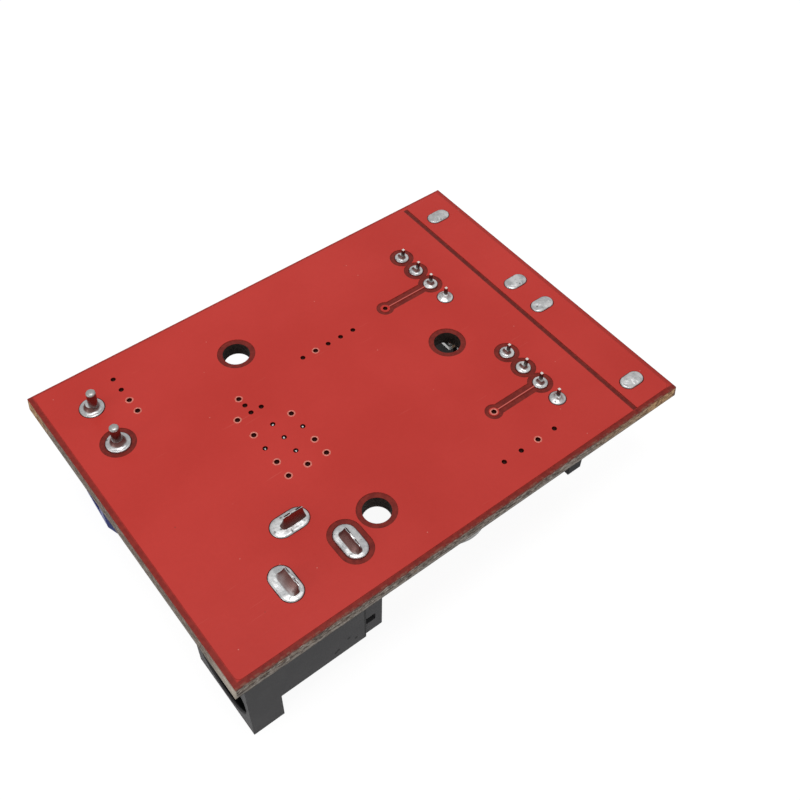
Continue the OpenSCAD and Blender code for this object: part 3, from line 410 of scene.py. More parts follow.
def metal_finish(name, colour, dull, low, high, brushed=(1, 1, 9), stain=0.25, bright_z=None):
    """Sheet or turned metal: fine brushing, duller patches and a few dark stains."""
    f = Finish(name)
    brush = f.grain(2.6, 4.0, 0.65, f.place(brushed))
    patches = f.grain(0.45, 4.0, 0.6)
    tone = f.mix(f.step(patches, 0.38, 0.66), colour, dull)
    tone = f.dim(tone, f.span(brush, 0.9, 1.08))
    tone = f.lay(tone, ((0.12, 0.09, 0.07), f.step(f.grain(2.1, 5.0, 0.7), 0.6, 0.74), stain))
    rough = f.plus(f.span(brush, low, high), f.times(f.step(patches, 0.4, 0.7), 0.08), clamp=True)
    if bright_z:
        # Painted reflection and shade: the shaft over the board is painted dark red-brown and made smoother,
        # up to its bright cut end
        shaft = above_board(f, 0.15, bright_z, 0.08)
        tone = f.lay(tone, ((0.15, 0.085, 0.08), shaft, 0.85))
        rough = f.minus(rough, f.times(shaft, f.minus(rough, 0.16)))
    return f.set(colour=tone, metallic=1.0, roughness=rough, normal=f.bump(brush, 0.008, f.soft_edges(0.05)))


def plastic_finish(name, colour, worn, low=0.38, high=0.55, depth=0.012, dust=0.25, specular=0.3, shade=None):
    """Moulded plastic: grain, rubbed patches, scratches and dust; shade(f, tone, specular) changes it."""
    f = Finish(name)
    grain = f.grain(7.0, 3.0, 0.6)
    patches = f.step(f.grain(0.35, 4.0, 0.6), 0.42, 0.68)
    scuffs = f.most(f.scratches(12.0, 5.0, 5.0, 0.005), f.scratches(71.0, 4.0, 6.0, 0.0))
    pale = tuple(min(1.0, c * 1.6 + 0.16) for c in worn)
    tone = f.lay(colour, (worn, patches, 0.5), (worn, scuffs, 0.3), (pale, f.specks(1.4, 0.07, 0.16), dust))
    if shade:
        tone, specular = shade(f, tone, specular)
    rough = f.plus(f.span(grain, low, high), f.times(scuffs, 0.15), clamp=True)
    skin = f.bump(grain, depth, f.soft_edges(0.08))
    return f.set(colour=tone, roughness=rough, specular=specular, normal=skin)


def jack_shade(f, tone, specular):
    """Dark line of the seam in the jack's side, and painted shade on the block behind the seam, in its bore
    and in the dents.
    """
    x, y = JACK_SEAM
    line = f.fade(f.size(f.minus(f.x, x)), 0.04, 0.1)
    # Painted shade: the block behind the seam is painted darker
    behind = f.times(f.above(f.x, x), 0.75)
    tone = f.dim(tone, f.less(f.times(f.most(line, behind), f.below(f.y, y), 0.85)))
    # Little light comes back out of the bore
    off_y, off_z = f.minus(f.y, JACK_AXIS[0]), f.minus(f.z, JACK_AXIS[1])
    from_axis = f.calc("SQRT", f.plus(f.times(off_y, off_y), f.times(off_z, off_z)))
    outside = f.most(f.step(from_axis, JACK_MOUTH, JACK_MOUTH + 0.06), f.step(f.x, BORE_END, BORE_END + 0.1))
    tone = f.dim(tone, f.span(outside, 0.1, 1.0))
    for place in JACK_DENTS:
        tone = f.dim(tone, f.less(f.times(f.spot(place, 0.22), 0.85)))
    return tone, f.times(outside, specular)


def ferrite_finish():
    """Pressed ferrite: dark grey, pitted, with paler patches."""
    f = Finish("ferrite_body")
    grain = f.grain(4.5, 5.0, 0.7)
    tone = f.mix(f.step(grain, 0.35, 0.7), (0.045, 0.045, 0.047), (0.115, 0.113, 0.112))
    tone = f.lay(tone, ((0.19, 0.175, 0.16), f.step(f.grain(1.1, 4.0, 0.7), 0.6, 0.72), 0.5))
    pitted = f.bump(f.cells(2.4)[0], 0.02, f.soft_edges(0.08))
    return f.set(colour=tone, roughness=f.span(grain, 0.42, 0.7), normal=f.bump(grain, 0.03, pitted))


def winding_finish():
    """Enamelled copper wire in layers of turns."""
    f = Finish("copper_winding")
    turns = f.waves(f.z, WIRE_PITCH)
    patches = f.grain(0.9, 3.0, 0.6)
    tone = f.mix(patches, (0.5, 0.17, 0.055), (0.72, 0.32, 0.13))
    # Painted shade in the grooves between the turns
    tone = f.lay(tone, ((0.09, 0.035, 0.02), f.fade(turns, -0.95, -0.6)))
    height = f.times(f.plus(turns, 1.0), 0.5)
    return f.set(
        colour=tone, metallic=0.75, roughness=f.span(patches, 0.22, 0.4),
        coat=0.5, coat_roughness=0.12, normal=f.bump(height, 0.12)
    )


def can_finish(name, middle_x, marked):
    """Drawn aluminium can with the black segment that marks its negative side on the end."""
    f = Finish(name)
    brush = f.grain(2.0, 4.0, 0.6, f.place((0.5, 0.5, 14)))
    tone = f.mix(f.step(f.grain(0.4, 4.0, 0.6), 0.4, 0.7), (0.8, 0.8, 0.79), (0.64, 0.635, 0.62))
    tone = f.dim(tone, f.span(brush, 0.92, 1.06))
    # The drawn end is painted darker as painted shade, with fine rings of painted reflection round its rim
    tone = f.dim(tone, f.span(f.step(f.z, 1.0, 2.4), 0.34, 1.0))
    rings = f.times(f.step(f.waves(f.z, CAN_RING_PITCH), 0.2, 0.9), f.fade(f.z, 1.4, 2.0))
    tone = f.dim(tone, f.span(rings, 1.0, 0.45))
    ragged = f.plus(f.times(f.minus(f.x, middle_x), marked), f.span(f.grain(6.0, 3.0, 0.7), -0.04, 0.04))
    worn = f.less(f.times(f.step(f.grain(1.6, 5.0, 0.7), 0.62, 0.7), 0.7))
    black = f.times(f.step(ragged, 1.35, 1.4), f.fade(f.z, 1.15, 1.2), worn)
    scuffs = f.scratches(33.0, 4.0, 5.0, 0.01)
    tone = f.lay(tone, ((0.02, 0.02, 0.022), black), ((0.9, 0.9, 0.9), scuffs, 0.4))
    return f.set(
        colour=tone, metallic=f.less(black), roughness=f.span(brush, 0.2, 0.36),
        normal=f.bump(brush, 0.006, f.soft_edges(0.06))
    )


def contact_finish():
    """Gold flash inside the socket and tin on the pins that go through the board."""
    f = Finish("usb_contacts")
    patches = f.grain(0.9, 4.0, 0.6)
    gold = f.mix(patches, (0.83, 0.6, 0.24), (0.7, 0.52, 0.26))
    tin = f.mix(patches, (0.74, 0.72, 0.68), (0.6, 0.58, 0.54))
    tone = f.mix(f.step(f.z, 9.6, 10.2), gold, tin)
    # Painted reflection and shade: the pins over the board are painted near black up to their bright cut ends
    tone = f.lay(tone, ((0.05, 0.03, 0.027), above_board(f, 0.1, USB_PIN_BRIGHT_Z, 0.06), 0.9))
    fine = f.grain(6.0, 4.0, 0.7)
    return f.set(
        colour=tone, metallic=1.0, roughness=f.span(fine, 0.2, 0.38),
        normal=f.bump(fine, 0.01, f.soft_edges(0.05))
    )


def ceramic_finish(name, colour, other, low=0.35, high=0.6):
    """Fired ceramic: fine mottled grain with pale specks."""
    f = Finish(name)
    grain = f.grain(5.0, 4.0, 0.65)
    tone = f.mix(f.step(grain, 0.3, 0.7), colour, other)
    tone = f.lay(tone, ((0.75, 0.7, 0.62), f.specks(3.0, 0.12, 0.2), 0.4))
    skin = f.bump(grain, 0.015, f.soft_edges(0.06))
    return f.set(colour=tone, roughness=f.span(grain, low, high), normal=skin)


def lens_finish():
    """Hazy tinted resin."""
    f = Finish("led_lens_resin")
    haze = f.grain(2.5, 3.0, 0.6)
    tone = f.mix(haze, (0.78, 0.13, 0.06), (0.86, 0.24, 0.14))
    rough = f.span(haze, 0.08, 0.25)
    return f.set(colour=tone, transmission=0.45, roughness=rough, normal=f.soft_edges(0.08))


def film_finish(name, grain, steps, thick, thin, low, high, specular):
    """A thin film of ink or mask that wears from one tone to the other."""
    f = Finish(name)
    wear = f.grain(*grain)
    share = f.step(wear, *steps) if steps else wear
    return f.set(colour=f.mix(share, thick, thin), roughness=f.span(wear, low, high), specular=specular)


finishes = {
    "board_laminate": board_finish(),
    "solder": solder_finish(),
    "terminal_plastic": plastic_finish("blue_moulding", (0.016, 0.03, 0.2), (0.04, 0.07, 0.3), 0.36, 0.52),
    "clamp_metal": metal_finish(
        "tinned_clamp", (0.5, 0.5, 0.48), (0.38, 0.37, 0.35), 0.2, 0.38, bright_z=POLE_BRIGHT_Z
    ),
    "screw_steel": metal_finish("zinc_screw", (0.74, 0.74, 0.73), (0.6, 0.6, 0.58), 0.24, 0.42, (1, 1, 1)),
    "guard_steel": metal_finish("spring_leaf", (0.62, 0.62, 0.63), (0.5, 0.49, 0.48), 0.25, 0.4),
    "jack_plastic": plastic_finish(
        "black_jack_moulding", (0.048, 0.047, 0.049), (0.062, 0.061, 0.062), 0.5, 0.66,
        specular=0.12, shade=jack_shade
    ),
    "contact_metal": metal_finish("tinned_contact", (0.55, 0.54, 0.5), (0.42, 0.4, 0.37), 0.2, 0.36),
    "shell_steel": metal_finish(
        "nickel_shell", (0.74, 0.74, 0.73), (0.64, 0.635, 0.62), 0.2, 0.34, (9, 1, 1)
    ),
    "socket_plastic": plastic_finish(
        "socket_moulding", (0.006, 0.006, 0.0065), (0.014, 0.014, 0.015), 0.5, 0.66, dust=0.12, specular=0.12
    ),
    "usb_contact_metal": contact_finish(),
    "chip_epoxy": plastic_finish("chip_epoxy", (0.026, 0.026, 0.028), (0.06, 0.06, 0.06), 0.5, 0.68, 0.02),
    "lead_metal": metal_finish("tinned_leads", (0.7, 0.7, 0.69), (0.56, 0.55, 0.53), 0.22, 0.4, (3, 3, 3)),
    "ferrite": ferrite_finish(),
    "enamelled_copper": winding_finish(),
    "base_plastic": plastic_finish("capacitor_base", (0.024, 0.024, 0.024), (0.06, 0.06, 0.058), 0.42, 0.6),
    "capacitor_ceramic": ceramic_finish("tan_ceramic", (0.46, 0.32, 0.19), (0.56, 0.42, 0.28)),
    "resistor_ceramic": ceramic_finish(
        "black_ceramic", (0.022, 0.022, 0.026), (0.045, 0.045, 0.05), 0.25, 0.45
    ),
    "end_metal": metal_finish("tinned_ends", (0.72, 0.72, 0.71), (0.58, 0.57, 0.55), 0.25, 0.45, (3, 3, 3)),
    "led_plastic": plastic_finish("led_moulding", (0.8, 0.8, 0.76), (0.66, 0.65, 0.6), dust=0.1),
    "led_clear": lens_finish(),
}
pin_ends = metal_finish("cut_pin_ends", (0.3, 0.3, 0.29), (0.17, 0.16, 0.15), 0.3, 0.5, (2, 2, 2), 0.5)
# White legend ink, thin in places
ink = film_finish(
    "legend_ink", (3.0, 5.0, 0.7), (0.56, 0.72), (0.74, 0.72, 0.69), (0.55, 0.2, 0.17), 0.5, 0.7, 0.3
)
# Painted shade: a dark film sunk into a drilled via, for the shade inside it; it also paints the shadow line
# round the pads
painted_shade_film = film_finish(
    "painted_shade_film", (4.0, 3.0, 0.6), None, (0.012, 0.0015, 0.001), (0.045, 0.006, 0.004), 0.4, 0.6, 0.08
)
# Mask that is thin over the copper rim of a via, so that pale metal shows through
via_rim = film_finish(
    "via_rim", (5.0, 4.0, 0.7), (0.35, 0.7), (0.6, 0.2, 0.15), (0.42, 0.06, 0.045), 0.3, 0.5, 0.4
)

# Which way along x the black mark on a can's end lies
CAN_MARKS = {"input_capacitor": -1, "output_capacitor_a": 1, "output_capacitor_b": 1}
slots = {part["node"]: part["material_slot"] for part in frame["record"]["subparts"]}


def dress(obj, finish):
    obj.data.materials.clear()
    obj.data.materials.append(finish)


for name, slot in slots.items():
    if slot == "can_aluminium":
        capacitor = name.removesuffix("_can")
        low, high = box_mm(name)
        aluminium = can_finish(capacitor + "_aluminium", (low[0] + high[0]) / 2, CAN_MARKS[capacitor])
        dress(frame["nodes"][name], aluminium)
    else:
        dress(frame["nodes"][name], finishes[slot])


# Added pieces


def piece(name, mesh, slot):
    obj = bpy.data.objects.new(name, mesh)
    bpy.context.scene.collection.objects.link(obj)
    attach(obj, "module")
    return obj


class Shape:
    """Points and faces of one added piece."""

    def __init__(self):
        self.points = []
        self.faces = []

    def loft(self, rings, close_first=False, close_last=True, flip=False):
        """A skin over rings that have the same number of points."""
        first = len(self.points)
        count = len(rings[0])
        for ring in rings:
            self.points += ring
        faces = []
        for a in range(first, len(self.points) - count, count):
            for i in range(count):
                j = (i + 1) % count
                faces.append((a + i, a + j, a + count + j, a + count + i))
        if close_first:
            faces.append(tuple(first + i for i in reversed(range(count))))
        if close_last:
            faces.append(tuple(range(len(self.points) - count, len(self.points))))
        self.faces += [tuple(reversed(face)) for face in faces] if flip else faces

    def make(self, name, slot, sharp=None, finish=None):
        """The piece; its finish is that of its slot unless another is given."""
        mesh = bpy.data.meshes.new(name)
        mesh.from_pydata([[c * MM for c in p] for p in self.points], [], self.faces)
        mesh.validate()
        mesh.update()
        mesh.shade_smooth()
        if sharp:
            mesh.set_sharp_from_angle(angle=math.radians(sharp))
        obj = piece(name, mesh, slot)
        dress(obj, finish or finishes[slot])
        return obj


# A ray is how far an outline is from its centre: a number, or a function of the angle


def reach(ray, angle):
    return ray(angle) if callable(ray) else ray


def stadium(half_length, half_width):
    """The ray of a round ended slot that lies along angle 0."""
    straight = half_length - half_width

    def ray(angle):
        c, s = abs(math.cos(angle)), abs(math.sin(angle))
        if s > 1e-9 and half_width * c / s <= straight:
            return half_width / s
        return straight * c + math.sqrt(max(half_width**2 - (straight * s) ** 2, 0))

    return ray


def block(half_length, half_width, power=7):
    """The ray of a rectangle with soft corners."""

    def ray(angle):
        c, s = abs(math.cos(angle)) / half_length, abs(math.sin(angle)) / half_width
        return (c**power + s**power) ** (-1 / power)

    return ray


def wobble(x, y, seed, scale):
    """Smooth noise about 0 that differs for each seed."""
    return noise.noise(Vector((x * scale, y * scale, seed * 7.31)))


def uneven(ray, amount, seed, scale):
    """A ray with smooth noise on it."""
    return lambda angle: reach(ray, angle) * (
        1 + amount * wobble(math.cos(angle), math.sin(angle), seed, scale)
    )


def angles(count):
    return [2 * math.pi * i / count for i in range(count)]


def ring(at, turn, ray, z, count, share=1, grow=0):
    """Points round a place, at a share of the ray or a little further out."""
    points = []
    for a in angles(count):
        r = reach(ray, a) * share + grow
        points.append((at[0] + r * math.cos(a + turn), at[1] + r * math.sin(a + turn), z))
    return points


def quarter(share):
    """Height of a quarter round at a share of its width."""
    return math.sqrt(1 - (1 - min(share, 1)) ** 2)


def solder_z(height, row):
    """Only the first ring of a joint lies on the board; the others are at least a little over it."""
    return FACE_Z + max(height, 0.004 if row else 0)


def drawn(x, y, centre, shares, lean=(0, 0)):
    """A place drawn to a share of its way from a centre, along each axis, and moved by the lean."""
    return (
        centre[0] + (x - centre[0]) * shares[0] + lean[0],
        centre[1] + (y - centre[1]) * shares[1] + lean[1],
    )


def joint(shape, at, pad, pin, rim, rise, hollow, seed, count=72, rows=22, rough=0.03):
    """Solder from the edge of its pad up to the pin: a rounded rim, a flat and a concave rise."""
    edge = uneven(pad, 0.02, seed, 2.0)
    rings = []
    for row in range(rows + 1):
        s = (row / rows) ** 1.15
        height = rim * quarter(s / 0.13) + (rise - rim) * s**hollow
        points = []
        for a in angles(count):
            r = edge(a) * (1 - s) + reach(pin, a) * s
            x, y = r * math.cos(a), r * math.sin(a)
            waves = wobble(x, y, seed, 1.7) + 0.5 * wobble(x, y, seed + 3, 4.0)
            z = height + rough * waves * min(4 * s, 1) * min(4 * (1 - s) + 0.3, 1) * (1 if row else 0)
            points.append((at[0] + x, at[1] + y, solder_z(z, row)))
        rings.append(points)
    shape.loft(rings)


def oval(half_length, half_width, power, angle):
    """A point of a rectangle with soft corners, spread evenly along its sides."""
    c, s = math.cos(angle), math.sin(angle)
    return (
        math.copysign(half_length * abs(c) ** (2 / power), c),
        math.copysign(half_width * abs(s) ** (2 / power), s),
    )


def tab_joint(shape, at, turn, tab, seed):
    """Solder over a flat tab: a flat border on the pad, and steep faces up to a thin ridge."""
    half, spread, tall, foot, lean = tab
    rim, flat, rows = 0.12, 0.4, 30
    pad_ray = stadium(*TAB_PAD)
    rings = []
    for row in range(rows + 1):
        s = row / rows
        low = min(s / flat, 1)
        t = max(s - flat, 0) / (1 - flat)
        draw = 1 - (1 - t) ** 1.5
        height = rim * quarter(low / 0.35) + 0.05 * low + (tall - rim) * t
        centre = [at[i] + foot[i] * low + lean[i] * t for i in (0, 1)]
        points = []
        for a in angles(96):
            bulge = wobble(math.cos(a), math.sin(a), seed, 1.6)
            over = math.atan2(TAB_PAD[1] * math.sin(a), TAB_PAD[0] * math.cos(a))
            far = pad_ray(over) * (1 + 0.012 * bulge)
            pad = (far * math.cos(over), far * math.sin(over))
            base = oval(half + 0.18, spread * (1 + 0.08 * bulge), 4, a)
            ridge = oval(half - 0.08, 0.12, 3, a)
            x, y = (
                (p * (1 - low) + b * low) * (1 - draw) + r * draw for p, b, r in zip(pad, base, ridge)
            )
            waves = wobble(x, y, seed, 1.6) + 0.4 * wobble(x, y, seed + 3, 4.0)
            sag = 0.1 * t * wobble(x, 0.0, seed + 9, 1.1) - 0.25 * t * (abs(x) / half) ** 5
            z = height + sag + 0.03 * waves * min(4 * s, 1) * (1 - min(4 * t, 1))
            across = x * math.cos(turn) - y * math.sin(turn)
            along = x * math.sin(turn) + y * math.cos(turn)
            points.append((centre[0] + across, centre[1] + along, solder_z(z, row)))
        rings.append(points)
    # Two smaller rings close the ridge
    last = rings[-1]
    for share, lift in ((0.75, 0.035), (0.3, 0.05)):
        rings.append([(*drawn(x, y, centre, (share, share)), z + lift) for x, y, z in last])
    shape.loft(rings)


def plug(shape, at, turn, ray, sag):
    """Solder that fills a drilled hole and sags a little out of it on the part side."""
    bottom = PART_Z - sag
    section = ((1, FACE_Z), (1, PART_Z), (0.96, PART_Z - sag * 0.5), (0.7, bottom), (0.3, bottom))
    shape.loft([ring(at, turn, ray, z, 32, share) for share, z in section], close_first=True, flip=True)


# The terminal's two pins: their places, their pads, and how far each leans
TERMINALS = (uv(4.35, 4.7), uv(4.35, 9.78))
TERMINAL_PAD = 1.175
POLE_LEANS = ((0.26, -0.2), (0.02, 0.0))
POLE_TIP = 14.985
# The jack's three tabs: place and turn of the pad, and of the solder over the tab the half length and the
# spread of its foot, its height, the place of its foot and the lean of its top
JACK_TABS = (
    (uv(15.07, 31.2), math.pi / 2, (1.2, 0.52, 1.0, (-0.14, -0.15), (0.2, 0.0))),
    (uv(8.36, 31.2), math.pi / 2, (1.15, 0.52, 1.0, (0.08, -0.15), (0.44, 0.0))),
    (uv(11.98, 26.45), 0, (1.08, 0.42, 1.5, (0.3, -0.1), (0.08, 0.0))),
)
TAB_PAD = (1.9, 1.1)
TAB_HALF = 1.2
# The two USB sockets: their middles, their four pins, the last of them in the pour, and the shell's legs
USB_CENTRES = (9.98, 26.88)
USB_PIN_STEPS = (-3.65, -1.22, 1.22, 3.65)
USB_PIN_U = 40.25
USB_PAD, USB_POUR_PAD = 0.745, 0.82
USB_LEANS = ((0.12, -0.09), (0.25, -0.09), (0.16, 0.15), (0.14, 0.1))
USB_LEG_U = 47.6
USB_LEG_STEP = 6.4
LEG_PAD = (1.3, 0.78)


def usb_pads():
    """Place, ray and seed of each pad of the sockets; whether it is a leg's; whether it lies in the pour."""
    for k, centre in enumerate(USB_CENTRES):
        for i, step in enumerate(USB_PIN_STEPS):
            in_pour = i == len(USB_PIN_STEPS) - 1
            pad = USB_POUR_PAD if in_pour else USB_PAD
            yield uv(USB_PIN_U, centre + step), pad, 31 + 5 * k + i, False, in_pour
        for j, step in enumerate((-USB_LEG_STEP, USB_LEG_STEP)):
            yield uv(USB_LEG_U, centre + step), stadium(*LEG_PAD), 61 + 5 * k + j, True, True


def solder_input():
    shape = Shape()
    for k, at in enumerate(TERMINALS):
        joint(shape, at, TERMINAL_PAD, 0.49, rim=0.1, rise=0.62, hollow=3.4, seed=5 + k)
        plug(shape, at, 0, 0.65, 0.1)
    for k, (at, turn, tab) in enumerate(JACK_TABS):
        tab_joint(shape, at, turn, tab, 15 + k)
        plug(shape, at, turn, stadium(1.4, 0.5), 0.12)
    obj = shape.make("solder_input_joints", "solder", 50)
    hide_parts("solder_input")


def solder_usb():
    shape = Shape()
    for at, pad, seed, is_leg, in_pour in usb_pads():
        if is_leg:
            joint(shape, at, pad, 0.004, rim=0.12, rise=0.26, hollow=0.9, seed=seed, rough=0.055)
            plug(shape, at, 0, stadium(0.95, 0.4), 0.1)
        else:
            rise, hollow = (0.42, 1.5) if in_pour else (0.46, 3.2)
            joint(shape, at, pad, block(0.16, 0.26), 0.1, rise, hollow, seed, 48, 16, 0.035)
            plug(shape, at, 0, 0.46, 0.08)
    obj = shape.make("solder_usb_joints", "solder", 50)
    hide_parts("solder_usb")


def pole_tips():
    """Rounded ends of the terminal pins."""
    shape = Shape()
    for k, ((x, y), lean) in enumerate(zip(TERMINALS, POLE_LEANS)):
        section = ((0.46, 0.245), (0.45, 0.145), (0.39, 0.065), (0.27, 0.015), (0.07, 0.0))
        shape.loft([
            ring((x + lean[0], y + lean[1]), 0, uneven(radius, 0.05, 80 + k, 1.4), POLE_TIP - drop, 48)
            for radius, drop in section
        ])
    shape.make("pole_tips", "clamp_metal", 60, pin_ends)


def pad_shadow_line(shape, at, turn, ray, in_pour):
    """A painted shadow: the dark line round a pad where the mask ends, lower where there is no copper under
    it.
    """
    z = FACE_Z + (0.004 if in_pour else -0.054)
    section = ((0.065, 0), (0.045, 0.012), (-0.05, 0.012))
    shape.loft([ring(at, turn, ray, z + lift, 64, grow=grow) for grow, lift in section], close_last=False)


# Painted shadow lines round all the pads
def pad_shadow_lines():
    shape = Shape()
    for k, at in enumerate(TERMINALS):
        pad_shadow_line(shape, at, 0, TERMINAL_PAD, k == 0)
    for k, (at, turn, _) in enumerate(JACK_TABS):
        pad_shadow_line(shape, at, turn, stadium(*TAB_PAD), k > 0)
    for at, pad, _, _, in_pour in usb_pads():
        pad_shadow_line(shape, at, 0, pad, in_pour)
    shape.make("pad_shadow_lines", "board_laminate", finish=painted_shade_film)


def joined_mesh(name):
    """A CAD node's mesh with its faces joined at their corners."""
    mesh = bmesh.new()
    mesh.from_mesh(frame["nodes"][name].data)
    bmesh.ops.remove_doubles(mesh, verts=mesh.verts, dist=1e-6)
    return mesh


def groups(left, neighbours):
    """Takes a set apart into the groups that hang together."""
    while left:
        group = [left.pop()]
        for item in group:
            for other in neighbours(item):
                if other in left:
                    left.discard(other)
                    group.append(other)
        yield group


def round_holes():
    """Centre and radius of each round hole that goes through the board."""
    mesh = joined_mesh("board")
    walls = {face for face in mesh.faces if abs(face.normal.z) < 0.3}
    found = []
    for group in groups(walls, lambda face: [other for edge in face.edges for other in edge.link_faces]):
        points = {v for face in group for v in face.verts}
        top = max(v.co.z for v in points)
        if top - min(v.co.z for v in points) < (FACE_Z - PART_Z - 0.2) * MM:
            continue
        # A gap in the copper of the part side can touch a hole's wall, so only the solder side is measured
        rim = [v for v in points if v.co.z > top - 0.02 * MM]
        xs = [v.co.x / MM for v in rim]
        ys = [v.co.y / MM for v in rim]
        centre = ((min(xs) + max(xs)) / 2, (min(ys) + max(ys)) / 2)
        radii = [math.dist(centre, p) for p in zip(xs, ys)]
        if max(radii) < 3 and max(radii) - min(radii) < 0.05:
            found.append((centre, max(radii)))
    mesh.free()
    return sorted(found)


# A round hole with a smaller radius is a via, and one with a larger radius takes a screw
VIA_RADIUS = 0.4
SCREW_RADIUS = 0.6
# Vias whose copper rim shows through the mask, and vias with a speck of solder in them
PALE_RIMS = (
    (7.62, 5.96), (7.58, 7.58), (14.47, 14.2), (18.91, 16.58), (14.63, 16.6), (15.94, 12.15),
    (18.89, 20.36), (18.86, 22.26), (14.64, 20.36), (16.73, 22.25), (14.63, 22.26), (25.27, 11.53),
    (35.22, 33.0), (34.3, 28.05),
)
SPECKED = ((16.79, 16.56), (18.89, 18.47), (14.67, 18.46), (16.78, 20.31), (16.81, 18.44))


def near(at, places):
    return any(math.dist(at, uv(*place)) < 0.6 for place in places)


def via_pieces():
    """Dark films sunk in the vias as painted shade, with rims round some and specks of solder in others."""
    shade_films, rims, specks = Shape(), Shape(), Shape()
    for k, (at, radius) in enumerate(hole for hole in holes if hole[1] < VIA_RADIUS):
        for z, up in ((FACE_Z, 1), (PART_Z, -1)):
            section = ((1.0, 0.03), (0.97, 0.1), (0.8, 0.22), (0.4, 0.3))
            rings = [ring(at, 0, radius, z - up * depth, 24, share) for share, depth in section]
            shade_films.loft(rings, flip=up < 0)
        if near(at, PALE_RIMS):
            rings = [
                ring(at, 0, uneven(radius * 1.04 + out, 0.04, k, 1.5), FACE_Z + up, 32)
                for out, up in ((0, 0), (0.02, 0.012), (0.065, 0.02), (0.11, 0.012), (0.13, 0))
            ]
            rims.loft(rings, close_last=False, flip=True)
        if near(at, SPECKED):
            side = k * 2.4
            centre = (at[0] + radius * 0.1 * math.cos(side), at[1] + radius * 0.1 * math.sin(side))
            specks.loft([
                ring(centre, side, uneven(radius * share, 0.5, k, 1.3), FACE_Z - depth, 20)
                for share, depth in ((0.55, 0.16), (0.5, 0.1), (0.35, 0.05), (0.1, 0.03))
            ])
    shade_films.make("via_shade_films", "board_laminate", finish=painted_shade_film)
    rims.make("via_rims", "board_laminate", finish=via_rim)
    specks.make("via_solder_specks", "solder")


def islands(name):
    """For each separate solid of a node, the outline of what touches the board, and its height."""
    mesh = joined_mesh(name)
    found = []
    for group in groups(set(mesh.verts), lambda v: [edge.other_vert(v) for edge in v.link_edges]):
        points = [v.co / MM for v in group]
        feet = [p for p in points if p.z > PART_Z - 0.08]
        if feet:
            xs, ys = [p.x for p in feet], [p.y for p in feet]
            found.append((min(xs), max(xs), min(ys), max(ys), PART_Z - min(p.z for p in points)))
    mesh.free()
    return sorted(found)


# Nodes that are soldered to the part side, and how far the solder spreads round their feet
FOOTED = {
    "buck_chip_leads": 0.18, "inductor_terminals": 0.45, "input_capacitor_leads": 0.22,
    "output_capacitor_a_leads": 0.22, "output_capacitor_b_leads": 0.22, "catch_diode_leads": 0.35,
    "input_diode_leads": 0.35, "usb_chip_a_leads": 0.14, "usb_chip_b_leads": 0.14,
    "chip_capacitor_ends": 0.3, "chip_resistor_ends": 0.22,
}


def underside_joints():
    """Pads and solder under every foot of the surface parts."""
    shape = Shape()
    for k, (name, spread) in enumerate(sorted(FOOTED.items())):
        for i, (x0, x1, y0, y1, tall) in enumerate(islands(name)):
            rise = min(tall * 0.5, 0.35)
            rings = []
            for s in (row / 7 for row in range(8)):
                depth = 0.05 * min(s * 5, 1) + rise * s**2.6
                grow = spread * (1 - s) + 0.015
                foot = block((x1 - x0) / 2 + grow, (y1 - y0) / 2 + grow, 9)
                at = ((x0 + x1) / 2, (y0 + y1) / 2)
                rings.append(ring(at, 0, uneven(foot, 0.025, k * 40 + i, 2.0), PART_Z - depth, 32))
            shape.loft(rings, flip=True)
    shape.make("underside_solder", "solder", 50)


def crosses_hole(corners):
    """Whether a closed line through corners comes near a mounting hole."""
    for (x0, y0), (x1, y1) in zip(corners, corners[1:] + corners[:1]):
        for share in (step / 20 for step in range(21)):
            place = (x0 + (x1 - x0) * share, y0 + (y1 - y0) * share)
            if any(r > SCREW_RADIUS and math.dist(place, at) < r + 0.25 for at, r in holes):
                return True
    return False


def outline(shape, corners, width=0.16):
    """A thin line of legend ink through corners, closed; none is printed where it would cross a hole."""
    if crosses_hole(corners):
        return
    cx, cy = (sum(values) / len(corners) for values in zip(*corners))
    rings = []
    for grow, z in ((0, 0.0), (0, -0.015), (width, -0.015), (width, 0.0)):
        points = []
        for x, y in corners:
            share = 1 + grow / math.dist((x, y), (cx, cy)) * 1.25
            points.append((cx + (x - cx) * share, cy + (y - cy) * share, PART_Z + z))
        rings.append(points)
    shape.loft(rings, close_last=False)


def rectangle(x0, x1, y0, y1, gap):
    """The corners of a rectangle with a gap round it, against the clock."""
    x0, x1, y0, y1 = x0 - gap, x1 + gap, y0 - gap, y1 + gap
    return [(x0, y0), (x1, y0), (x1, y1), (x0, y1)]


def box_rectangle(name, gap):
    low, high = box_mm(name)
    return rectangle(low[0], high[0], low[1], high[1], gap)


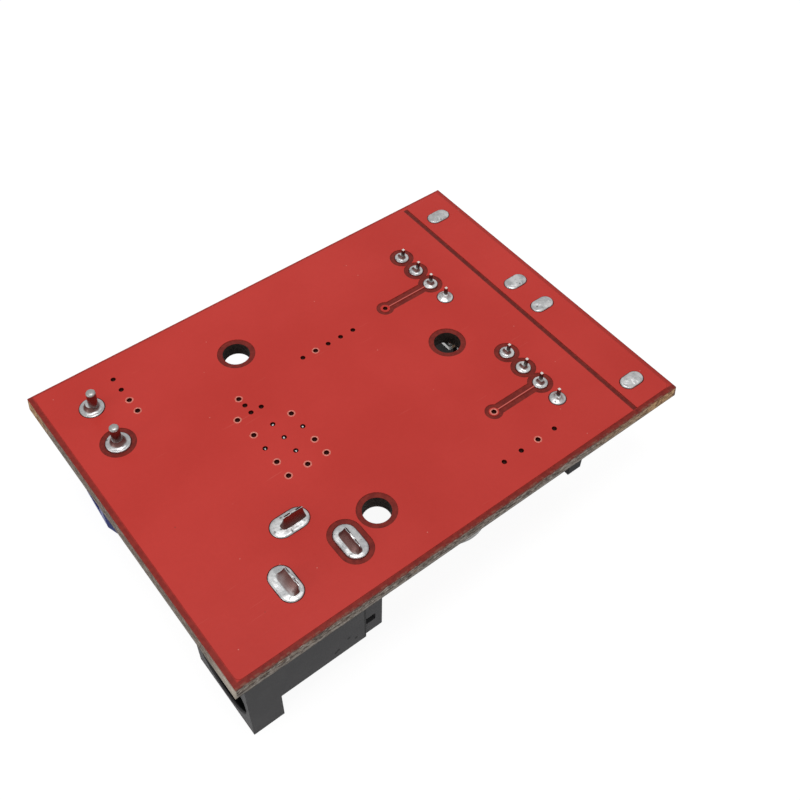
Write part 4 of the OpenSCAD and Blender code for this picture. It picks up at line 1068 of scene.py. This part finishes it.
def legend():
    """Printed outlines round the parts on the part side, with no lettering."""
    shape = Shape()
    boxed = {
        "buck_chip": 0.3, "inductor_base": 0.3, "usb_chip_a": 0.25, "usb_chip_b": 0.25,
        "catch_diode_body": 0.35, "input_diode_body": 0.35, "led_base": 0.35,
    }
    for name, gap in boxed.items():
        outline(shape, box_rectangle(name, gap))
    # The outline of a capacitor has two corners cut on the side away from its mark
    cut = 1.8
    for name, marked in CAN_MARKS.items():
        (x0, y0), (x1, _), (_, y1), _ = box_rectangle(name + "_base", 0.3)
        whole, short = (x0, x1) if marked < 0 else (x1, x0)
        inner = short + cut * marked
        corners = [(whole, y0), (inner, y0), (short, y0 + cut), (short, y1 - cut), (inner, y1), (whole, y1)]
        outline(shape, corners if marked < 0 else corners[::-1])
    # The two ends of a chip part are the two islands nearest to each other
    for name, gap in (("chip_capacitor_ends", 0.42), ("chip_resistor_ends", 0.34)):
        ends = [end[:4] for end in islands(name)]
        while ends:
            first = ends.pop(0)
            other = min(ends, key=lambda end: math.dist(middle(first), middle(end)))
            ends.remove(other)
            x0, x1, y0, y1 = (pick(pair) for pick, pair in zip((min, max, min, max), zip(first, other)))
            outline(shape, rectangle(x0, x1, y0, y1, gap), 0.12)
    shape.make("legend_lines", "led_plastic", 30, ink)


def middle(end):
    return (end[0] + end[1]) / 2, (end[2] + end[3]) / 2


def shift(node, name, axis, distance, weigh):
    """Moves points of a CAD node along an axis by weigh(x, y, z) of distance, with a modifier."""
    obj = frame["nodes"][node]
    group = obj.vertex_groups.new(name=name)
    for vertex in obj.data.vertices:
        weight = weigh(*(c / MM for c in vertex.co))
        if weight > 0:
            group.add([vertex.index], min(weight, 1), "REPLACE")
    modifier = obj.modifiers.new(name, "DISPLACE")
    modifier.direction = axis
    modifier.vertex_group = name
    modifier.mid_level = 0
    modifier.strength = distance * MM


# The front skin of the screw terminal, and the two rings of the chamfer at the mouth of the jack's bore
SKIN_BACK, SKIN_FRONT = -23.7, -24.5
TERMINAL_BOX = box_mm("terminal_housing")
MOUTH_X = -24.0
MOUTH_INNER, MOUTH_OUTER = 3.4, 3.7
MOUTH_GROW = 0.62


def front_skin(x, y, z):
    """The front of the screw terminal, from nothing at its near end to all at its far end."""
    near_end, far_end = (corner[1] for corner in TERMINAL_BOX)
    return min(max(SKIN_BACK - x, 0), 1) * (y - near_end) / (far_end - near_end)


def mouth(sign, across):
    """How the jack's mouth opens one way: the inner ring of its chamfer more than the outer one."""

    def weigh(x, y, z):
        off = (y - JACK_AXIS[0], z - JACK_AXIS[1])
        radius = math.hypot(*off)
        if x > MOUTH_X or radius > MOUTH_OUTER:
            return 0
        return max(sign * off[across] / radius, 0) * (1 if radius < MOUTH_INNER else 0.65)

    return weigh


shift("terminal_housing", "skew", "X", 0.7, front_skin)
shift("terminal_housing", "forward", "X", -0.12, lambda x, y, z: x < SKIN_FRONT)
# The board was broken off along scored lines, so its short sides slant outward to the part side
shift("board", "input_slant", "X", -0.165, lambda x, y, z: x < LEFT + 0.05 and z < PART_Z + 0.5)
shift("board", "output_slant", "X", 0.29, lambda x, y, z: x > RIGHT - 0.05 and z < PART_Z + 0.5)
shift("output_capacitor_a_can", "longer", "Z", -0.25, lambda x, y, z: z < 5)
# The plug goes into a mouth that is wider than its bore
for across, axis in enumerate("YZ"):
    for sign in (-1, 1):
        shift("jack_housing", f"mouth_{axis}_{sign}", axis, sign * MOUTH_GROW, mouth(sign, across))


def reshape(node, change):
    """A copy of a CAD node that stands for it, with its points above the board moved by change(x, y, z)."""
    mesh = frame["nodes"][node].data.copy()
    for vertex in mesh.vertices:
        place = [c / MM for c in vertex.co]
        if place[2] > FACE_Z + 0.05:
            vertex.co = [c * MM for c in change(*place)]
    obj = piece(node + "_bent", mesh, slots[node])
    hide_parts(node)


def bend_tab(number):
    """A tab ends in the thin ridge of its solder."""
    at, turn, (half, _, tall, foot, lean) = JACK_TABS[number]
    wide = half * 0.8 / TAB_HALF
    shares = (0.2, wide) if turn else (wide, 0.2)
    moved = (foot[0] + lean[0], foot[1] + lean[1])
    return lambda x, y, z: (*drawn(x, y, at, shares, moved), FACE_Z + tall - 0.3)


def bend_pins(x, y, z):
    """The pins of a socket come to a small tip, and each leans its own way."""
    centre = USB_CENTRES[0] if y > 0 else USB_CENTRES[1]
    places = [uv(USB_PIN_U, centre + step) for step in USB_PIN_STEPS]
    pin = min(range(len(places)), key=lambda i: abs(places[i][1] - y))
    return *drawn(x, y, places[pin], (0.85, 0.5), USB_LEANS[pin]), z


def bend_pole(number):
    """A terminal pin leans, and its cut end is left to the dome of pole_tips."""
    return lambda x, y, z: (*drawn(x, y, TERMINALS[number], (0.92, 0.92), POLE_LEANS[number]), z - 0.24)


for number, side in enumerate("ab"):
    reshape("terminal_clamp_" + side, bend_pole(number))
    reshape("usb_contacts_" + side, bend_pins)
for number, contact in enumerate(("centre", "sleeve", "switch")):
    reshape("jack_" + contact + "_contact", bend_tab(number))
holes = round_holes()
for make in (solder_input, solder_usb, pole_tips, pad_shadow_lines, via_pieces, underside_joints, legend):
    make()


# Floor, light and camera


def make_floor():
    """A pale floor that looks evenly white, darkened only by the object's shadow."""
    bpy.ops.mesh.primitive_plane_add(size=0.9, location=(0, 0, -0.00005))
    floor = bpy.context.object
    floor.name = "floor"
    material = bpy.data.materials.new("pale_floor")
    n = Nodes(material)
    n.tree.nodes.remove(n.tree.nodes["Principled BSDF"])
    paint = n.shader("BsdfDiffuse", Color=(0.75, 0.75, 0.75))
    seen = n.shader("BsdfDiffuse", Color=(0.11, 0.11, 0.11))
    both = n.add("AddShader", {0: seen, 1: n.shader("Emission", Strength=0.93)}).outputs[0]
    above = n.either(n.seen_rays(), paint, both)
    # It can't be seen from below, so that the part side of the board can be looked at
    below = n.add("NewGeometry").outputs["Backfacing"]
    surface = n.either(below, above, n.shader("BsdfTransparent"))
    n.feed(n.tree.nodes["Material Output"].inputs[0], surface)
    dress(floor, material)


def make_world():
    """White where the camera sees it, and a weaker even light on the object."""
    world = bpy.data.worlds.new("studio")
    bpy.context.scene.world = world
    n = Nodes(world)
    n.tree.nodes.remove(n.tree.nodes["Background"])
    fill = n.shader("Background", Color=(1, 1, 1), Strength=0.55)
    white = n.shader("Background", Color=(1, 1, 1), Strength=1.0)
    n.feed(n.tree.nodes["World Output"].inputs[0], n.either(n.seen_rays(), fill, white))


def make_lamp(name, place, target, power, width):
    """A round soft box; its place and width are in metres."""
    light = bpy.data.lights.new(name, "AREA")
    light.shape = "DISK"
    light.size = width
    light.energy = power
    obj = bpy.data.objects.new(name, light)
    obj.location = place
    obj.rotation_euler = (Vector(place) - Vector(target)).to_track_quat("Z", "Y").to_euler()
    bpy.context.scene.collection.objects.link(obj)


def make_camera():
    """The camera of the photo, solved from the corners and edges of the board."""
    data = bpy.data.cameras.new("camera")
    data.lens = 46.405
    data.sensor_width = 36
    data.clip_start = 0.001
    data.clip_end = 10
    obj = bpy.data.objects.new("camera", data)
    obj.location = (-0.036450, -0.050616, 0.089727)
    obj.rotation_euler = [math.radians(a) for a in (38.50736, -1.12964, -38.15466)]
    bpy.context.scene.collection.objects.link(obj)
    bpy.context.scene.camera = obj


make_floor()
make_world()
make_lamp("key", (-0.03, -0.02, 0.3), (0, 0, 0.01), 0.44, 0.13)
make_lamp("front", (-0.32, 0.02, 0.1), (0, 0, 0.005), 0.14, 0.16)
make_camera()
bpy.context.scene.view_settings.view_transform = "Standard"
